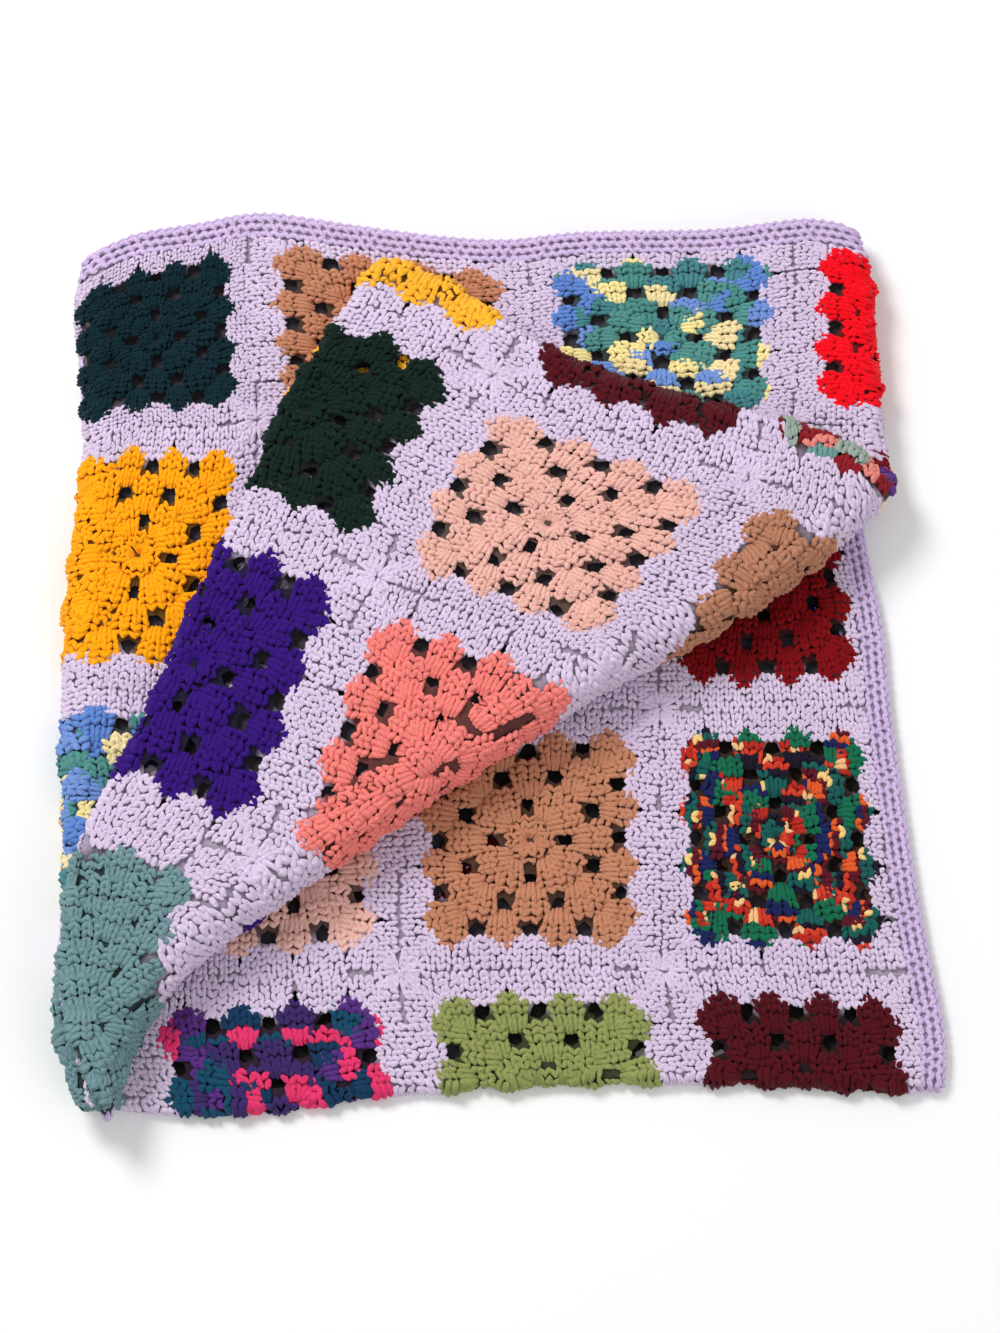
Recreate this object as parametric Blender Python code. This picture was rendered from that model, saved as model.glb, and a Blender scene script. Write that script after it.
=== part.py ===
"""A crocheted granny square blanket, folded into a flat packet with one corner turned back.

The blanket is one continuous sheet.  It is doubled along its long middle line, which
makes two plies joined by a hairpin along the packet's near edge.  The doubled cloth is
folded in thirds like a letter: the bottom third, round the left edge to the top third,
and round the right edge to the middle third, which is tucked in between.  Last, the near
right corner of the top and middle thirds, four layers, is turned back over a slanting line.

Two sheet coordinates, both in millimetres, name every place on the cloth:
    along   runs down the blanket's length, from the right border of the bottom third,
            round the left edge, over the top third and round the right edge
    across  runs over its width, 0 on the near hairpin, positive on the outer ply
The model is built in millimetres and written in metres.
"""

from math import cos, pi, radians, sin

import bmesh
import bpy
import numpy as np
from mathutils import Vector, geometry

MM = 0.001

# Cloth
SHEET = 3.2            # thickness of the crochet
PINCHED = 0.9          # its thickness where the turned corner pinches it
PITCH = 5.0            # height from one layer to the next
GAP_HALF = 3.3         # half the side of a gap between stitch groups

# Packet, as a plain rectangle before its edges are drawn in
LEFT = -229.0          # centre of the left fold
RIGHT = 206.0          # centre of the right fold
LOWER_END = 216.0      # right border of the bottom third
TUCKED_END = -229.0    # hidden end of the middle third
NEAR = -243.0          # centre of the near hairpin
FAR = 245.0            # far border

# Layer heights, at mid thickness
FLOOR_LAYER = SHEET / 2
BOTTOM_MID = FLOOR_LAYER + 0.5 * PITCH
MIDDLE_MID = FLOOR_LAYER + 2.5 * PITCH
TOP_MID = FLOOR_LAYER + 4.5 * PITCH
HAIRPIN = PITCH / 2
LEFT_RADIUS = (TOP_MID - BOTTOM_MID) / 2
RIGHT_RADIUS = (TOP_MID - MIDDLE_MID) / 2
LOWER_LEVEL = FLOOR_LAYER + 1.2 * PITCH
UPPER_LEVEL = FLOOR_LAYER + 1.9 * PITCH

# The turned corner: a slanting line in plan, and the height it turns about
TURN_ANGLE = radians(33.3)
TURN_OFFSET = 36.0
TURN_HEIGHT = FLOOR_LAYER + 5.5 * PITCH
TURN_ARC = 34.0
TURN_ALONG = np.array([cos(TURN_ANGLE), sin(TURN_ANGLE)])
TURN_OUT = np.array([sin(TURN_ANGLE), -cos(TURN_ANGLE)])

# Lengths along the sheet
LOWER_LENGTH = LOWER_END - LEFT
LEFT_BEND = LOWER_LENGTH + pi * LEFT_RADIUS
TOP_LENGTH = LEFT_BEND + RIGHT - LEFT
RIGHT_BEND = TOP_LENGTH + pi * RIGHT_RADIUS
SHEET_LENGTH = RIGHT_BEND + RIGHT - TUCKED_END
HAIRPIN_BEND = HAIRPIN * pi / 2
HALF_WIDTH = HAIRPIN_BEND + FAR - NEAR
CORNER_ALONG = (TOP_LENGTH + RIGHT_BEND) / 2

# Edges of the packet in plan: place along the edge, then where the edge really lies
LEFT_EDGE = (  # y, x
    (-262, -229), (-222, -243), (-178, -245), (-145, -242), (-44, -246), (29, -245),
    (79, -242), (130, -235), (205, -242), (232, -243), (250, -238))
RIGHT_EDGE = (  # y, x: right fold of the top and middle thirds
    (-245, 236), (-218, 246), (-184, 238), (-138, 230), (-79, 233), (-13, 238),
    (38, 240), (77, 229), (105, 219), (169, 215), (219, 214), (250, 204))
LOWER_RIGHT_EDGE = (  # y, x: border of the bottom third
    (-245, 247), (-226, 251), (-189, 244), (-152, 237), (-96, 229), (-19, 220),
    (12, 219), (69, 208), (120, 205), (250, 200))
NEAR_EDGE = (  # x, y: near hairpins of the top and middle thirds
    (-243, -248), (-224, -254), (-200, -266), (-180, -280), (-160, -280), (-138, -266),
    (-105, -252), (7, -250), (73, -244), (104, -252), (150, -244), (240, -240))
LOWER_NEAR_EDGE = (  # x, y: near hairpin of the bottom third
    (-243, -256), (-188, -262), (-134, -258), (-80, -249), (14, -243), (103, -242),
    (203, -248), (251, -243))
FAR_EDGE = (  # x, y
    (-250, 226), (-232, 236), (-215, 247), (-179, 250), (-141, 260), (-93, 252),
    (-34, 244), (11, 241), (41, 247), (134, 248), (187, 256), (205, 255), (218, 243))
TURN_CURVE = (  # place along the turning line, how far it bows out
    (-352, 70), (-338, 62), (-322, 48), (-305, 32), (-281, 18), (-258, 7), (-235, 1),
    (-190, -1), (-60, -4), (30, -3), (120, 5), (180, 3), (230, -6))

# Soft lifts and slumps of the packet: a share of the height at their middle
SWELLS = (  # x, y, reach, share
    (-60, -20, 150, 0.06), (120, 60, 110, 0.05), (-150, -170, 90, 0.06),
    (-180, 200, 110, -0.14), (0, 235, 120, -0.17), (170, 225, 110, -0.15),
    (150, -170, 130, 0.05), (235, -230, 60, -0.05), (-215, 30, 70, -0.05))

# Where the turned layers are pulled sideways from the plain fold
PULLS = (  # x, y, reach, move in x, move in y
    (-222, -205, 45, -12, -4), (-215, -250, 28, -2, -12))

PINCH_X, PINCH_Y = -222.0, -258.0
PINCH_REACH = 50.0     # how far the pinch goes into the cloth
HEM_REACH = 125.0      # how far it follows the near hairpins
HEM_WIDTH = 14.0

ROUNDING = ((-24, 0.1), (-12, 0.2), (0, 0.4), (12, 0.2), (24, 0.1))  # shift, weight

# Rows of squares: where their seams cross, as (along, across) on the sheet.  Rows run from
# the far edge to the near one on the outer ply, columns from left to right as seen.
TOP_SEAMS = (
    ((455, 476), (560, 485), (724, 484), (879, 486), (1027, 487)),
    ((446, 383), (561, 377), (718, 374), (869, 370), (1023, 372)),
    ((425, 232), (565, 234), (705, 231), (860, 228), (1018, 230)),
    ((422, 89), (562, 88), (709, 86), (863, 86), (1013, 86)))
LOWER_SEAMS = (
    ((426, -370), (271, -366), (119, -363), (6, -363)),
    ((419, -219), (275, -214), (128, -213), (5, -214)),
    ((422, -72), (281, -66), (142, -62), (9, -64)),
    ((422, 89), (276, 88), (130, 90), (7, 88)))
TURNED_SEAMS = (  # the turned corner, which shows the middle third
    ((807, -63), (807, 86), (806, 236), (804, 384)),
    ((955, -62), (951, 86), (952, 239), (944, 384)),
    ((1088, -62), (1086, 87), (1080, 222), (1072, 368)),
    ((1262, -60), (1250, 93), (1253, 234), (1256, 380)),
    ((1402, -60), (1396, 90), (1398, 230), (1400, 376)))
FACES = (  # seams, squares that show as (row, column)
    (TOP_SEAMS,
     ((0, 0), (0, 1), (0, 2), (0, 3), (1, 0), (1, 1), (1, 2), (1, 3), (2, 0))),
    (LOWER_SEAMS,
     ((0, 1), (0, 2), (1, 0), (1, 1), (1, 2), (2, 0), (2, 1), (2, 2))),
    (TURNED_SEAMS,
     ((0, 1), (0, 2), (1, 0), (1, 1), (1, 2), (2, 0), (2, 1), (2, 2), (3, 0), (3, 1),
      (3, 2))))


def spread(table, places):
    """Read a two-column table at the given places, with its corners rounded."""
    table = np.array(table, float)
    total = 0.0
    for shift, weight in ROUNDING:
        total = total + weight * np.interp(places + shift, table[:, 0], table[:, 1])
    return total


def smooth_step(low, high, value):
    share = np.clip((value - low) / (high - low), 0.0, 1.0)
    return share * share * (3.0 - 2.0 * share)


def doubled_and_thirded(along, across):
    """The sheet doubled at the near edge and folded in thirds, with straight edges."""
    turn = np.clip(np.abs(across) / HAIRPIN, 0.0, pi / 2)
    side = np.sign(across)
    out = side * HAIRPIN * np.sin(turn)
    y = NEAR - HAIRPIN * np.cos(turn) + np.maximum(np.abs(across) - HAIRPIN_BEND, 0.0)

    left = np.clip((along - LOWER_LENGTH) / LEFT_RADIUS, 0.0, pi)
    right = np.clip((along - TOP_LENGTH) / RIGHT_RADIUS, 0.0, pi)
    on_top = np.clip(along - LEFT_BEND, 0.0, RIGHT - LEFT)
    in_middle = np.maximum(along - RIGHT_BEND, 0.0)
    x = LOWER_END - np.minimum(along, LOWER_LENGTH) + on_top - in_middle
    x = x - (LEFT_RADIUS + out) * np.sin(left) + (RIGHT_RADIUS + out) * np.sin(right)
    z = np.where(
        along < TOP_LENGTH,
        (BOTTOM_MID + TOP_MID) / 2 - (LEFT_RADIUS + out) * np.cos(left),
        (MIDDLE_MID + TOP_MID) / 2 + (RIGHT_RADIUS + out) * np.cos(right))
    return x, y, z


def drawn_edges(x, y, z):
    """Move the straight edges to where the real packet's edges lie."""
    level = smooth_step(LOWER_LEVEL, UPPER_LEVEL, z)
    reach = LEFT_RADIUS + HAIRPIN
    ideal_left = LEFT - reach
    ideal_right = (1.0 - level) * LOWER_END + level * (RIGHT + RIGHT_RADIUS + HAIRPIN)
    share = (x - ideal_left) / (ideal_right - ideal_left)
    left = spread(LEFT_EDGE, y)
    right = (1.0 - level) * spread(LOWER_RIGHT_EDGE, y) + level * spread(RIGHT_EDGE, y)
    new_x = left + share * (right - left)

    share = (y - (NEAR - HAIRPIN)) / (FAR - NEAR + HAIRPIN)
    near = (1.0 - level) * spread(LOWER_NEAR_EDGE, x) + level * spread(NEAR_EDGE, x)
    far = spread(FAR_EDGE, x)
    return new_x, near + share * (far - near), z


def turn_distance(x, y):
    """How far a point lies beyond the turning line, and its place along the line."""
    place = x * TURN_ALONG[0] + y * TURN_ALONG[1]
    beyond = x * TURN_OUT[0] + y * TURN_OUT[1] - TURN_OFFSET - spread(TURN_CURVE, place)
    return beyond, place


def turned_back(x, y, z):
    """Turn what lies beyond the slanting line, on the four upper layers, back over."""
    beyond, _ = turn_distance(x, y)
    upper = z > (LOWER_LEVEL + UPPER_LEVEL) / 2
    angle = np.where(upper, np.clip(beyond / TURN_ARC, 0.0, 1.0) * pi, 0.0)
    depth = TURN_HEIGHT - z
    flat = np.where(upper, np.maximum(beyond - TURN_ARC, 0.0), 0.0)
    stay = np.where(upper, np.minimum(beyond, 0.0), beyond)
    new_beyond = stay + depth * np.sin(angle) - flat
    move = new_beyond - beyond
    return (x + move * TURN_OUT[0], y + move * TURN_OUT[1],
            TURN_HEIGHT - depth * np.cos(angle))


def settled(x, y, z):
    """Soft lifts and slumps: each scales the heights above one place."""
    scale = np.ones_like(x)
    for centre_x, centre_y, reach, share in SWELLS:
        apart = ((x - centre_x) ** 2 + (y - centre_y) ** 2) / reach ** 2
        scale = scale + share * np.exp(-apart)
    lift = smooth_step(SHEET, 4.0 * PITCH, z)
    turned = smooth_step(MIDDLE_MID, TURN_HEIGHT, z)
    move_x = np.zeros_like(x)
    move_y = np.zeros_like(x)
    for centre_x, centre_y, reach, pull_x, pull_y in PULLS:
        share = np.exp(-((x - centre_x) ** 2 + (y - centre_y) ** 2) / reach ** 2)
        move_x = move_x + pull_x * share * turned
        move_y = move_y + pull_y * share * turned
    return x + move_x, y + move_y, z * (1.0 + (scale - 1.0) * lift)


def place(along, across):
    """The middle surface of the folded blanket at sheet coordinates."""
    along = np.asarray(along, float)
    across = np.asarray(across, float)
    point = doubled_and_thirded(along, across)
    point = drawn_edges(*point)
    point = turned_back(*point)
    return np.stack(settled(*point), axis=-1)


def place_with_normal(along, across, step=0.05):
    along = np.asarray(along, float)
    across = np.asarray(across, float)
    down = place(along + step, across) - place(along - step, across)
    over = place(along, across + step) - place(along, across - step)
    normal = np.cross(down, over)
    normal /= np.linalg.norm(normal, axis=-1, keepdims=True)
    return place(along, across), normal


def in_square(net, row, column, a, b):
    """The point (a, b) of a square, each from -1 to 1, in sheet coordinates."""
    right = (1.0 + a) / 2
    near = (1.0 + b) / 2
    far_side = net[row, column] * (1 - right) + net[row, column + 1] * right
    near_side = net[row + 1, column] * (1 - right) + net[row + 1, column + 1] * right
    return far_side * (1 - near) + near_side * near


# Gaps of a square: rounds of stitch groups, with spaces at the corners and between groups
ROUND = 0.208          # width of a round, as a share of half the square
GAP_ROUNDS = (2, 4)     # every second one, so that all squares have the same gaps
SPACE_IN = 0.10        # how far inside its round a space lies
CORNER_IN = 0.25       # how far a round's last group stands from its corner
CORNER_SPACE_IN = 0.12


def space_places():
    """Centres of the spaces of one square, with a = b = 1 at its corner."""
    places = []
    for number in GAP_ROUNDS:
        out = number * ROUND - SPACE_IN
        reach = number * ROUND - CORNER_IN
        for quarter in range(4):
            turn = quarter * pi / 2
            spots = [(reach * ((2 * k + 1) / (number - 1) - 1), out)
                     for k in range(number - 1)]
            spots.append((number * ROUND - CORNER_SPACE_IN,) * 2)
            for a, b in spots:
                places.append((a * cos(turn) - b * sin(turn),
                               a * sin(turn) + b * cos(turn)))
    return places


def clear_of_bends(along, across, margin):
    """Whether a spot keeps its distance from every bend of the sheet."""
    x, y, _ = drawn_edges(*doubled_and_thirded(np.array(along), np.array(across)))
    beyond, _ = turn_distance(x, y)
    upper = along > LEFT_BEND
    return (abs(across) > HAIRPIN_BEND + margin
            and abs(across) < HALF_WIDTH - margin
            and not LOWER_LENGTH - margin < along < LEFT_BEND + margin
            and not TOP_LENGTH - margin < along < RIGHT_BEND + margin
            and not (upper and -margin < beyond < TURN_ARC + margin)
            and margin < along < SHEET_LENGTH - margin)


def shows(along, across):
    """Whether a spot lies uncovered on the face where the packet shows it."""
    x, y, _ = place(along, across)
    beyond, _ = turn_distance(x, y)
    if along > RIGHT_BEND:
        return across > 0.0
    if along < LOWER_LENGTH:
        return across < 0.0 and beyond > TURN_HEIGHT - MIDDLE_MID
    if across < 0.0 or beyond > 0.0:
        return False
    x = x - 2.0 * beyond * TURN_OUT[0]
    y = y - 2.0 * beyond * TURN_OUT[1]
    return bool(x > spread(RIGHT_EDGE, y) + 4.0 or y < spread(NEAR_EDGE, x) - 4.0)


def gap_loops():
    """The corners of every gap that is cut, in sheet coordinates."""
    loops = []
    centres = []
    spaces = space_places()
    for seams, squares in FACES:
        net = np.array(seams, float)
        for row, column in squares:
            middle = in_square(net, row, column, 0.0, 0.0)
            down = in_square(net, row, column, 0.0, 1.0) - middle
            over = in_square(net, row, column, 1.0, 0.0) - middle
            down = down / np.linalg.norm(down) * GAP_HALF
            over = over / np.linalg.norm(over) * GAP_HALF
            for a, b in spaces:
                spot = in_square(net, row, column, a, b)
                apart = min([np.hypot(*(spot - other)) for other in centres], default=99.0)
                if (apart > 4.0 * GAP_HALF and shows(*spot)
                        and clear_of_bends(spot[0], spot[1], 2.0 * GAP_HALF)):
                    centres.append(spot)
                    loops.append([spot - down - over, spot - down + over,
                                  spot + down + over, spot + down - over])
    return loops


# Mesh of the sheet: rows of points on every bend, the gaps' corners, and a sparse fill
FILL_STEP = 70.0
LINE_STEP = 62.0
HAIRPIN_STEPS = 4
LEFT_STEPS = 8
RIGHT_STEPS = 6
TURN_STEPS = 7
LOOP_POINTS = 60
CORNER_STEP = 12.0     # spacing of the points where the turned corner is pinched
CORNER_REACH = 60.0
MAX_GAPS = 300
MOST_LEAN = 0.80       # cosine between a triangle and the surface it stands for
SHORT_SIDE = 3.0
REFINE_ROUNDS = 10


def evenly(low, high, step):
    return np.linspace(low, high, max(2, round((high - low) / step) + 1))


def turn_loop(level):
    """One closed line of the turning bend, round the corner that is turned back."""
    points = []
    for quarter in range(4):
        for k in range(LOOP_POINTS // 4):
            share = k / (LOOP_POINTS // 4)
            share = share - 0.06 * sin(2 * pi * share)
            first = quarter * pi / 2
            reach_first = 560.0 if quarter % 2 == 0 else 400.0
            reach_next = 400.0 if quarter % 2 == 0 else 560.0
            spot = ((1 - share) * reach_first * np.array([cos(first), sin(first)])
                    + share * reach_next * np.array([-sin(first), cos(first)]))
            low, high = 0.0, 1.6
            for _ in range(40):
                middle = (low + high) / 2
                at = spot * middle
                x, y, _z = drawn_edges(*doubled_and_thirded(
                    np.array(CORNER_ALONG + at[0]), np.array(at[1])))
                if turn_distance(x, y)[0] > level:
                    low = middle
                else:
                    high = middle
            points.append((CORNER_ALONG + spot[0] * low, spot[1] * low))
    return points


class Plan:
    """Points and fixed lines of the flat sheet, before it is cut into triangles."""

    def __init__(self):
        self.points = []
        self.lines = []

    def chain(self, points, closed=False):
        first = len(self.points)
        self.points.extend(tuple(point) for point in points)
        count = len(points)
        for k in range(count if closed else count - 1):
            self.lines.append((first + k, first + (k + 1) % count))

    def fill(self, points, clear):
        taken = np.array(self.points)
        for point in points:
            if np.min(np.hypot(*(taken - point).T)) > clear:
                self.points.append(tuple(point))


def on_sheet(point):
    return 0.0 < point[0] < SHEET_LENGTH and abs(point[1]) < HALF_WIDTH


def sheet_plan(loops):
    plan = Plan()
    ends = evenly(0.0, SHEET_LENGTH, LINE_STEP)
    sides = evenly(-HALF_WIDTH, HALF_WIDTH, LINE_STEP)
    hairpin_ends = np.unique(np.concatenate([
        ends[(ends < LEFT_BEND - CORNER_REACH) | (ends > LEFT_BEND + 2 * CORNER_REACH)],
        evenly(LEFT_BEND - CORNER_REACH / 2, LEFT_BEND + 1.8 * CORNER_REACH, CORNER_STEP),
        evenly(SHEET_LENGTH - 1.8 * CORNER_REACH, SHEET_LENGTH, CORNER_STEP)]))
    plan.chain([(a, -HALF_WIDTH) for a in ends[:-1]]
               + [(SHEET_LENGTH, b) for b in sides[:-1]]
               + [(a, HALF_WIDTH) for a in ends[:0:-1]]
               + [(0.0, b) for b in sides[:0:-1]], closed=True)
    for k in range(HAIRPIN_STEPS + 1):
        across = HAIRPIN_BEND * (2 * k / HAIRPIN_STEPS - 1)
        plan.chain([(a, across) for a in hairpin_ends])
    for first, last, steps in ((LOWER_LENGTH, LEFT_BEND, LEFT_STEPS),
                               (TOP_LENGTH, RIGHT_BEND, RIGHT_STEPS)):
        for k in range(steps + 1):
            along = first + (last - first) * k / steps
            plan.chain([(along, b) for b in sides])
    for k in range(TURN_STEPS + 1):
        loop = turn_loop(TURN_ARC * k / TURN_STEPS)
        for one, two in zip(loop, loop[1:] + loop[:1]):
            if min(one[0], two[0]) > LEFT_BEND - 2.0:
                plan.chain([one, two])
    for loop in loops:
        plan.chain(loop, closed=True)
    fill = [(a, b) for a in evenly(FILL_STEP / 2, SHEET_LENGTH - FILL_STEP / 2, FILL_STEP)
            for b in evenly(-HALF_WIDTH + FILL_STEP / 2, HALF_WIDTH - FILL_STEP / 2,
                            FILL_STEP)]
    for first, last in ((LEFT_BEND - CORNER_REACH / 2, LEFT_BEND + CORNER_REACH),
                        (SHEET_LENGTH - CORNER_REACH, SHEET_LENGTH)):
        plan.fill([(a, b) for a in evenly(first, last, CORNER_STEP)[1:-1]
                   for b in evenly(-CORNER_REACH, CORNER_REACH, CORNER_STEP)],
                  0.4 * CORNER_STEP)
    plan.fill(fill, 0.45 * FILL_STEP)
    return plan


def in_any(loops_low, loops_high, loops, spot):
    near = np.nonzero(np.all((loops_low < spot) & (spot < loops_high), axis=1))[0]
    for index in near:
        loop = loops[index]
        sides = [np.cross(loop[(k + 1) % 4] - loop[k], spot - loop[k]) for k in range(4)]
        if all(side > 0 for side in sides) or all(side < 0 for side in sides):
            return True
    return False


def cut_flat(plan, loops):
    """Triangles of the flat sheet, without those inside its gaps."""
    made = geometry.delaunay_2d_cdt(
        [Vector(point) for point in plan.points], plan.lines, [], 0, 1e-3)
    points = np.array([tuple(point) for point in made[0]])
    low = np.array([np.min(loop, axis=0) for loop in loops])
    high = np.array([np.max(loop, axis=0) for loop in loops])
    faces = []
    for face in made[2]:
        spot = points[list(face)].mean(axis=0)
        if on_sheet(spot) and not in_any(low, high, loops, spot):
            faces.append(tuple(face))
    return points, np.array(faces)


def strained(points, faces):
    """Triangles that lean over once the sheet is folded, and their longest sides."""
    spots = points[faces].mean(axis=1)
    _, true_normal = place_with_normal(spots[:, 0], spots[:, 1])
    corners = place(points[:, 0], points[:, 1])[faces]
    normal = np.cross(corners[:, 1] - corners[:, 0], corners[:, 2] - corners[:, 0])
    normal /= np.maximum(np.linalg.norm(normal, axis=1, keepdims=True), 1e-12)
    lean = np.sum(normal * true_normal, axis=1)
    flat = points[faces]
    sides = np.linalg.norm(np.roll(flat, -1, axis=1) - flat, axis=2)
    longest = np.argmax(sides, axis=1)
    picked = np.nonzero((lean < MOST_LEAN) & (sides.max(axis=1) > SHORT_SIDE))[0]
    return [(flat[k, longest[k]] + flat[k, (longest[k] + 1) % 3]) / 2 for k in picked]


def cut_sheet(loops):
    """The flat sheet's triangles, with points added until none leans over."""
    plan = sheet_plan(loops)
    for _ in range(REFINE_ROUNDS):
        points, faces = cut_flat(plan, loops)
        extra = strained(points, faces)
        if not extra:
            break
        plan.fill(extra, SHORT_SIDE / 4)
    used = np.unique(faces)
    number = {int(old): new for new, old in enumerate(used)}
    return points[used], [tuple(number[int(corner)] for corner in face) for face in faces]


def thick_sheet(points, faces):
    """A closed solid from flat triangles: both surfaces and the walls round every edge."""
    middle, normal = place_with_normal(points[:, 0], points[:, 1])
    apart = (middle[:, 0] - PINCH_X) ** 2 + (middle[:, 1] - PINCH_Y) ** 2
    spot = np.exp(-apart / PINCH_REACH ** 2)
    hem = np.exp(-apart / HEM_REACH ** 2 - (points[:, 1] / HEM_WIDTH) ** 2)
    pinch = np.maximum(spot, hem) * (middle[:, 2] > PITCH)
    half = (SHEET + (PINCHED - SHEET) * pinch)[:, None] / 2
    upper = middle + normal * half
    lower = middle - normal * half
    count = len(points)
    edges = {}
    for face in faces:
        for k in range(3):
            edges[(face[k], face[(k + 1) % 3])] = True
    solid = list(faces)
    solid += [tuple(corner + count for corner in face[::-1]) for face in faces]
    for one, two in edges:
        if (two, one) not in edges:
            solid.append((two, one, one + count, two + count))
    return np.concatenate([upper, lower]), solid


def make_material(name, colour, roughness):
    material = bpy.data.materials.new(name)
    material.use_nodes = True
    shader = material.node_tree.nodes["Principled BSDF"]
    shader.inputs["Base Color"].default_value = (*colour, 1.0)
    shader.inputs["Roughness"].default_value = roughness
    shader.inputs["Metallic"].default_value = 0.0
    return material


def make_blanket():
    loops = gap_loops()[:MAX_GAPS]
    points, faces = cut_sheet(loops)
    vertices, solid = thick_sheet(points, faces)
    vertices[:, 2] -= vertices[:, 2].min()
    middle = (vertices.max(axis=0) + vertices.min(axis=0)) / 2
    vertices[:, :2] -= middle[:2]

    mesh = bpy.data.meshes.new("blanket")
    mesh.from_pydata((vertices * MM).tolist(), [], solid)
    work = bmesh.new()
    work.from_mesh(mesh)
    bmesh.ops.triangulate(work, faces=work.faces[:])
    bmesh.ops.recalc_face_normals(work, faces=work.faces[:])
    work.to_mesh(mesh)
    work.free()
    mesh.shade_smooth()
    mesh.set_sharp_from_angle(angle=radians(40))
    blanket = bpy.data.objects.new("blanket", mesh)
    bpy.context.scene.collection.objects.link(blanket)
    mesh.materials.append(make_material("lavender yarn", (0.68, 0.58, 0.76), 0.9))


def main():
    for thing in list(bpy.data.objects):
        bpy.data.objects.remove(thing)
    make_blanket()


if __name__ == "__main__":
    main()
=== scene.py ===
"""Looks of a crocheted granny square blanket, folded into a flat packet with a corner turned back.

The folded cloth is worked out from two sheet coordinates in millimetres: along runs down
the blanket's length, from the right border of the bottom third, round the left edge, over
the top third and round the right edge; across runs over its width, 0 on the near hairpin
fold and positive on the outer ply.  Every stitch is a short tube of yarn that is drawn flat
in millimetres, set in its square, and carried onto the folded cloth.
"""

from collections import namedtuple
from itertools import product
from math import cos, pi, radians, sin, tau

import bpy
import numpy as np
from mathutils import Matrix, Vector, geometry
from mathutils.bvhtree import BVHTree
from mathutils.kdtree import KDTree


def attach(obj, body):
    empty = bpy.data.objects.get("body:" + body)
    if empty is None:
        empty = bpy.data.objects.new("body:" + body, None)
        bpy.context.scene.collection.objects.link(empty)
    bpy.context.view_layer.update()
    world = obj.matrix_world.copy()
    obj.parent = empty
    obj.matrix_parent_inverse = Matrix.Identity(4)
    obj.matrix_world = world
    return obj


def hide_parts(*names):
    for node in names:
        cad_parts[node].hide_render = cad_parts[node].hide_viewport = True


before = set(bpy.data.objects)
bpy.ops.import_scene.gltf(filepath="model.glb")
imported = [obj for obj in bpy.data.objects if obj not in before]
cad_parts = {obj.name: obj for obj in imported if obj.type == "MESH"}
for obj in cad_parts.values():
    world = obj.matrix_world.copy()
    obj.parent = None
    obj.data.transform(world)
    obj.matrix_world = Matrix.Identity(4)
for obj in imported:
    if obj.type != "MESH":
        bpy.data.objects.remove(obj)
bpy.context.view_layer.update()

MM = 0.001
dice = np.random.default_rng(11)

# ---------------------------------------------------------------- the folded cloth
SHIFT_X, SHIFT_Y = 0.06, 5.75    # from the fold's own middle to the packet's middle

SHEET = 3.2            # thickness of the cloth
PITCH = 5.0            # from the middle of one layer to the next
LEFT, RIGHT = -229.0, 206.0            # where the side folds begin
LOWER_END, TUCKED_END = 216.0, -229.0  # the borders of the bottom and middle thirds
NEAR, FAR = -243.0, 245.0              # where the hairpins begin, and the far border

FLOOR_LAYER = SHEET / 2
BOTTOM_MID = FLOOR_LAYER + 0.5 * PITCH
MIDDLE_MID = FLOOR_LAYER + 2.5 * PITCH
TOP_MID = FLOOR_LAYER + 4.5 * PITCH
HAIRPIN = PITCH / 2
LEFT_RADIUS = (TOP_MID - BOTTOM_MID) / 2
RIGHT_RADIUS = (TOP_MID - MIDDLE_MID) / 2
LOWER_LEVEL = FLOOR_LAYER + 1.2 * PITCH
UPPER_LEVEL = FLOOR_LAYER + 1.9 * PITCH

TURN_ANGLE = radians(33.3)             # of the line along which the corner is turned back
TURN_OFFSET = 36.0
TURN_HEIGHT = FLOOR_LAYER + 5.5 * PITCH
TURN_ARC = 34.0                        # length of cloth in that bend
TURN_ALONG = np.array([cos(TURN_ANGLE), sin(TURN_ANGLE)])
TURN_OUT = np.array([sin(TURN_ANGLE), -cos(TURN_ANGLE)])

LOWER_LENGTH = LOWER_END - LEFT
LEFT_BEND = LOWER_LENGTH + pi * LEFT_RADIUS
TOP_LENGTH = LEFT_BEND + RIGHT - LEFT
RIGHT_BEND = TOP_LENGTH + pi * RIGHT_RADIUS
SHEET_LENGTH = RIGHT_BEND + RIGHT - TUCKED_END
HAIRPIN_BEND = HAIRPIN * pi / 2
HALF_WIDTH = HAIRPIN_BEND + FAR - NEAR
CORNER_ALONG = (TOP_LENGTH + RIGHT_BEND) / 2

LEFT_EDGE = (  # y, x
    (-262, -229), (-222, -243), (-178, -245), (-145, -242), (-44, -246), (29, -245),
    (79, -242), (130, -235), (205, -242), (232, -243), (250, -238))
RIGHT_EDGE = (  # y, x: right fold of the top and middle thirds
    (-245, 236), (-218, 246), (-184, 238), (-138, 230), (-79, 233), (-13, 238),
    (38, 240), (77, 229), (105, 219), (169, 215), (219, 214), (250, 204))
LOWER_RIGHT_EDGE = (  # y, x: border of the bottom third
    (-245, 247), (-226, 251), (-189, 244), (-152, 237), (-96, 229), (-19, 220),
    (12, 219), (69, 208), (120, 205), (250, 200))
NEAR_EDGE = (  # x, y: near hairpins of the top and middle thirds
    (-243, -248), (-224, -254), (-200, -266), (-180, -280), (-160, -280), (-138, -266),
    (-105, -252), (7, -250), (73, -244), (104, -252), (150, -244), (240, -240))
LOWER_NEAR_EDGE = (  # x, y: near hairpin of the bottom third
    (-243, -256), (-188, -262), (-134, -258), (-80, -249), (14, -243), (103, -242),
    (203, -248), (251, -243))
FAR_EDGE = (  # x, y
    (-250, 226), (-232, 236), (-215, 247), (-179, 250), (-141, 260), (-93, 252),
    (-34, 244), (11, 241), (41, 247), (134, 248), (187, 256), (205, 255), (218, 243))
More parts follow.
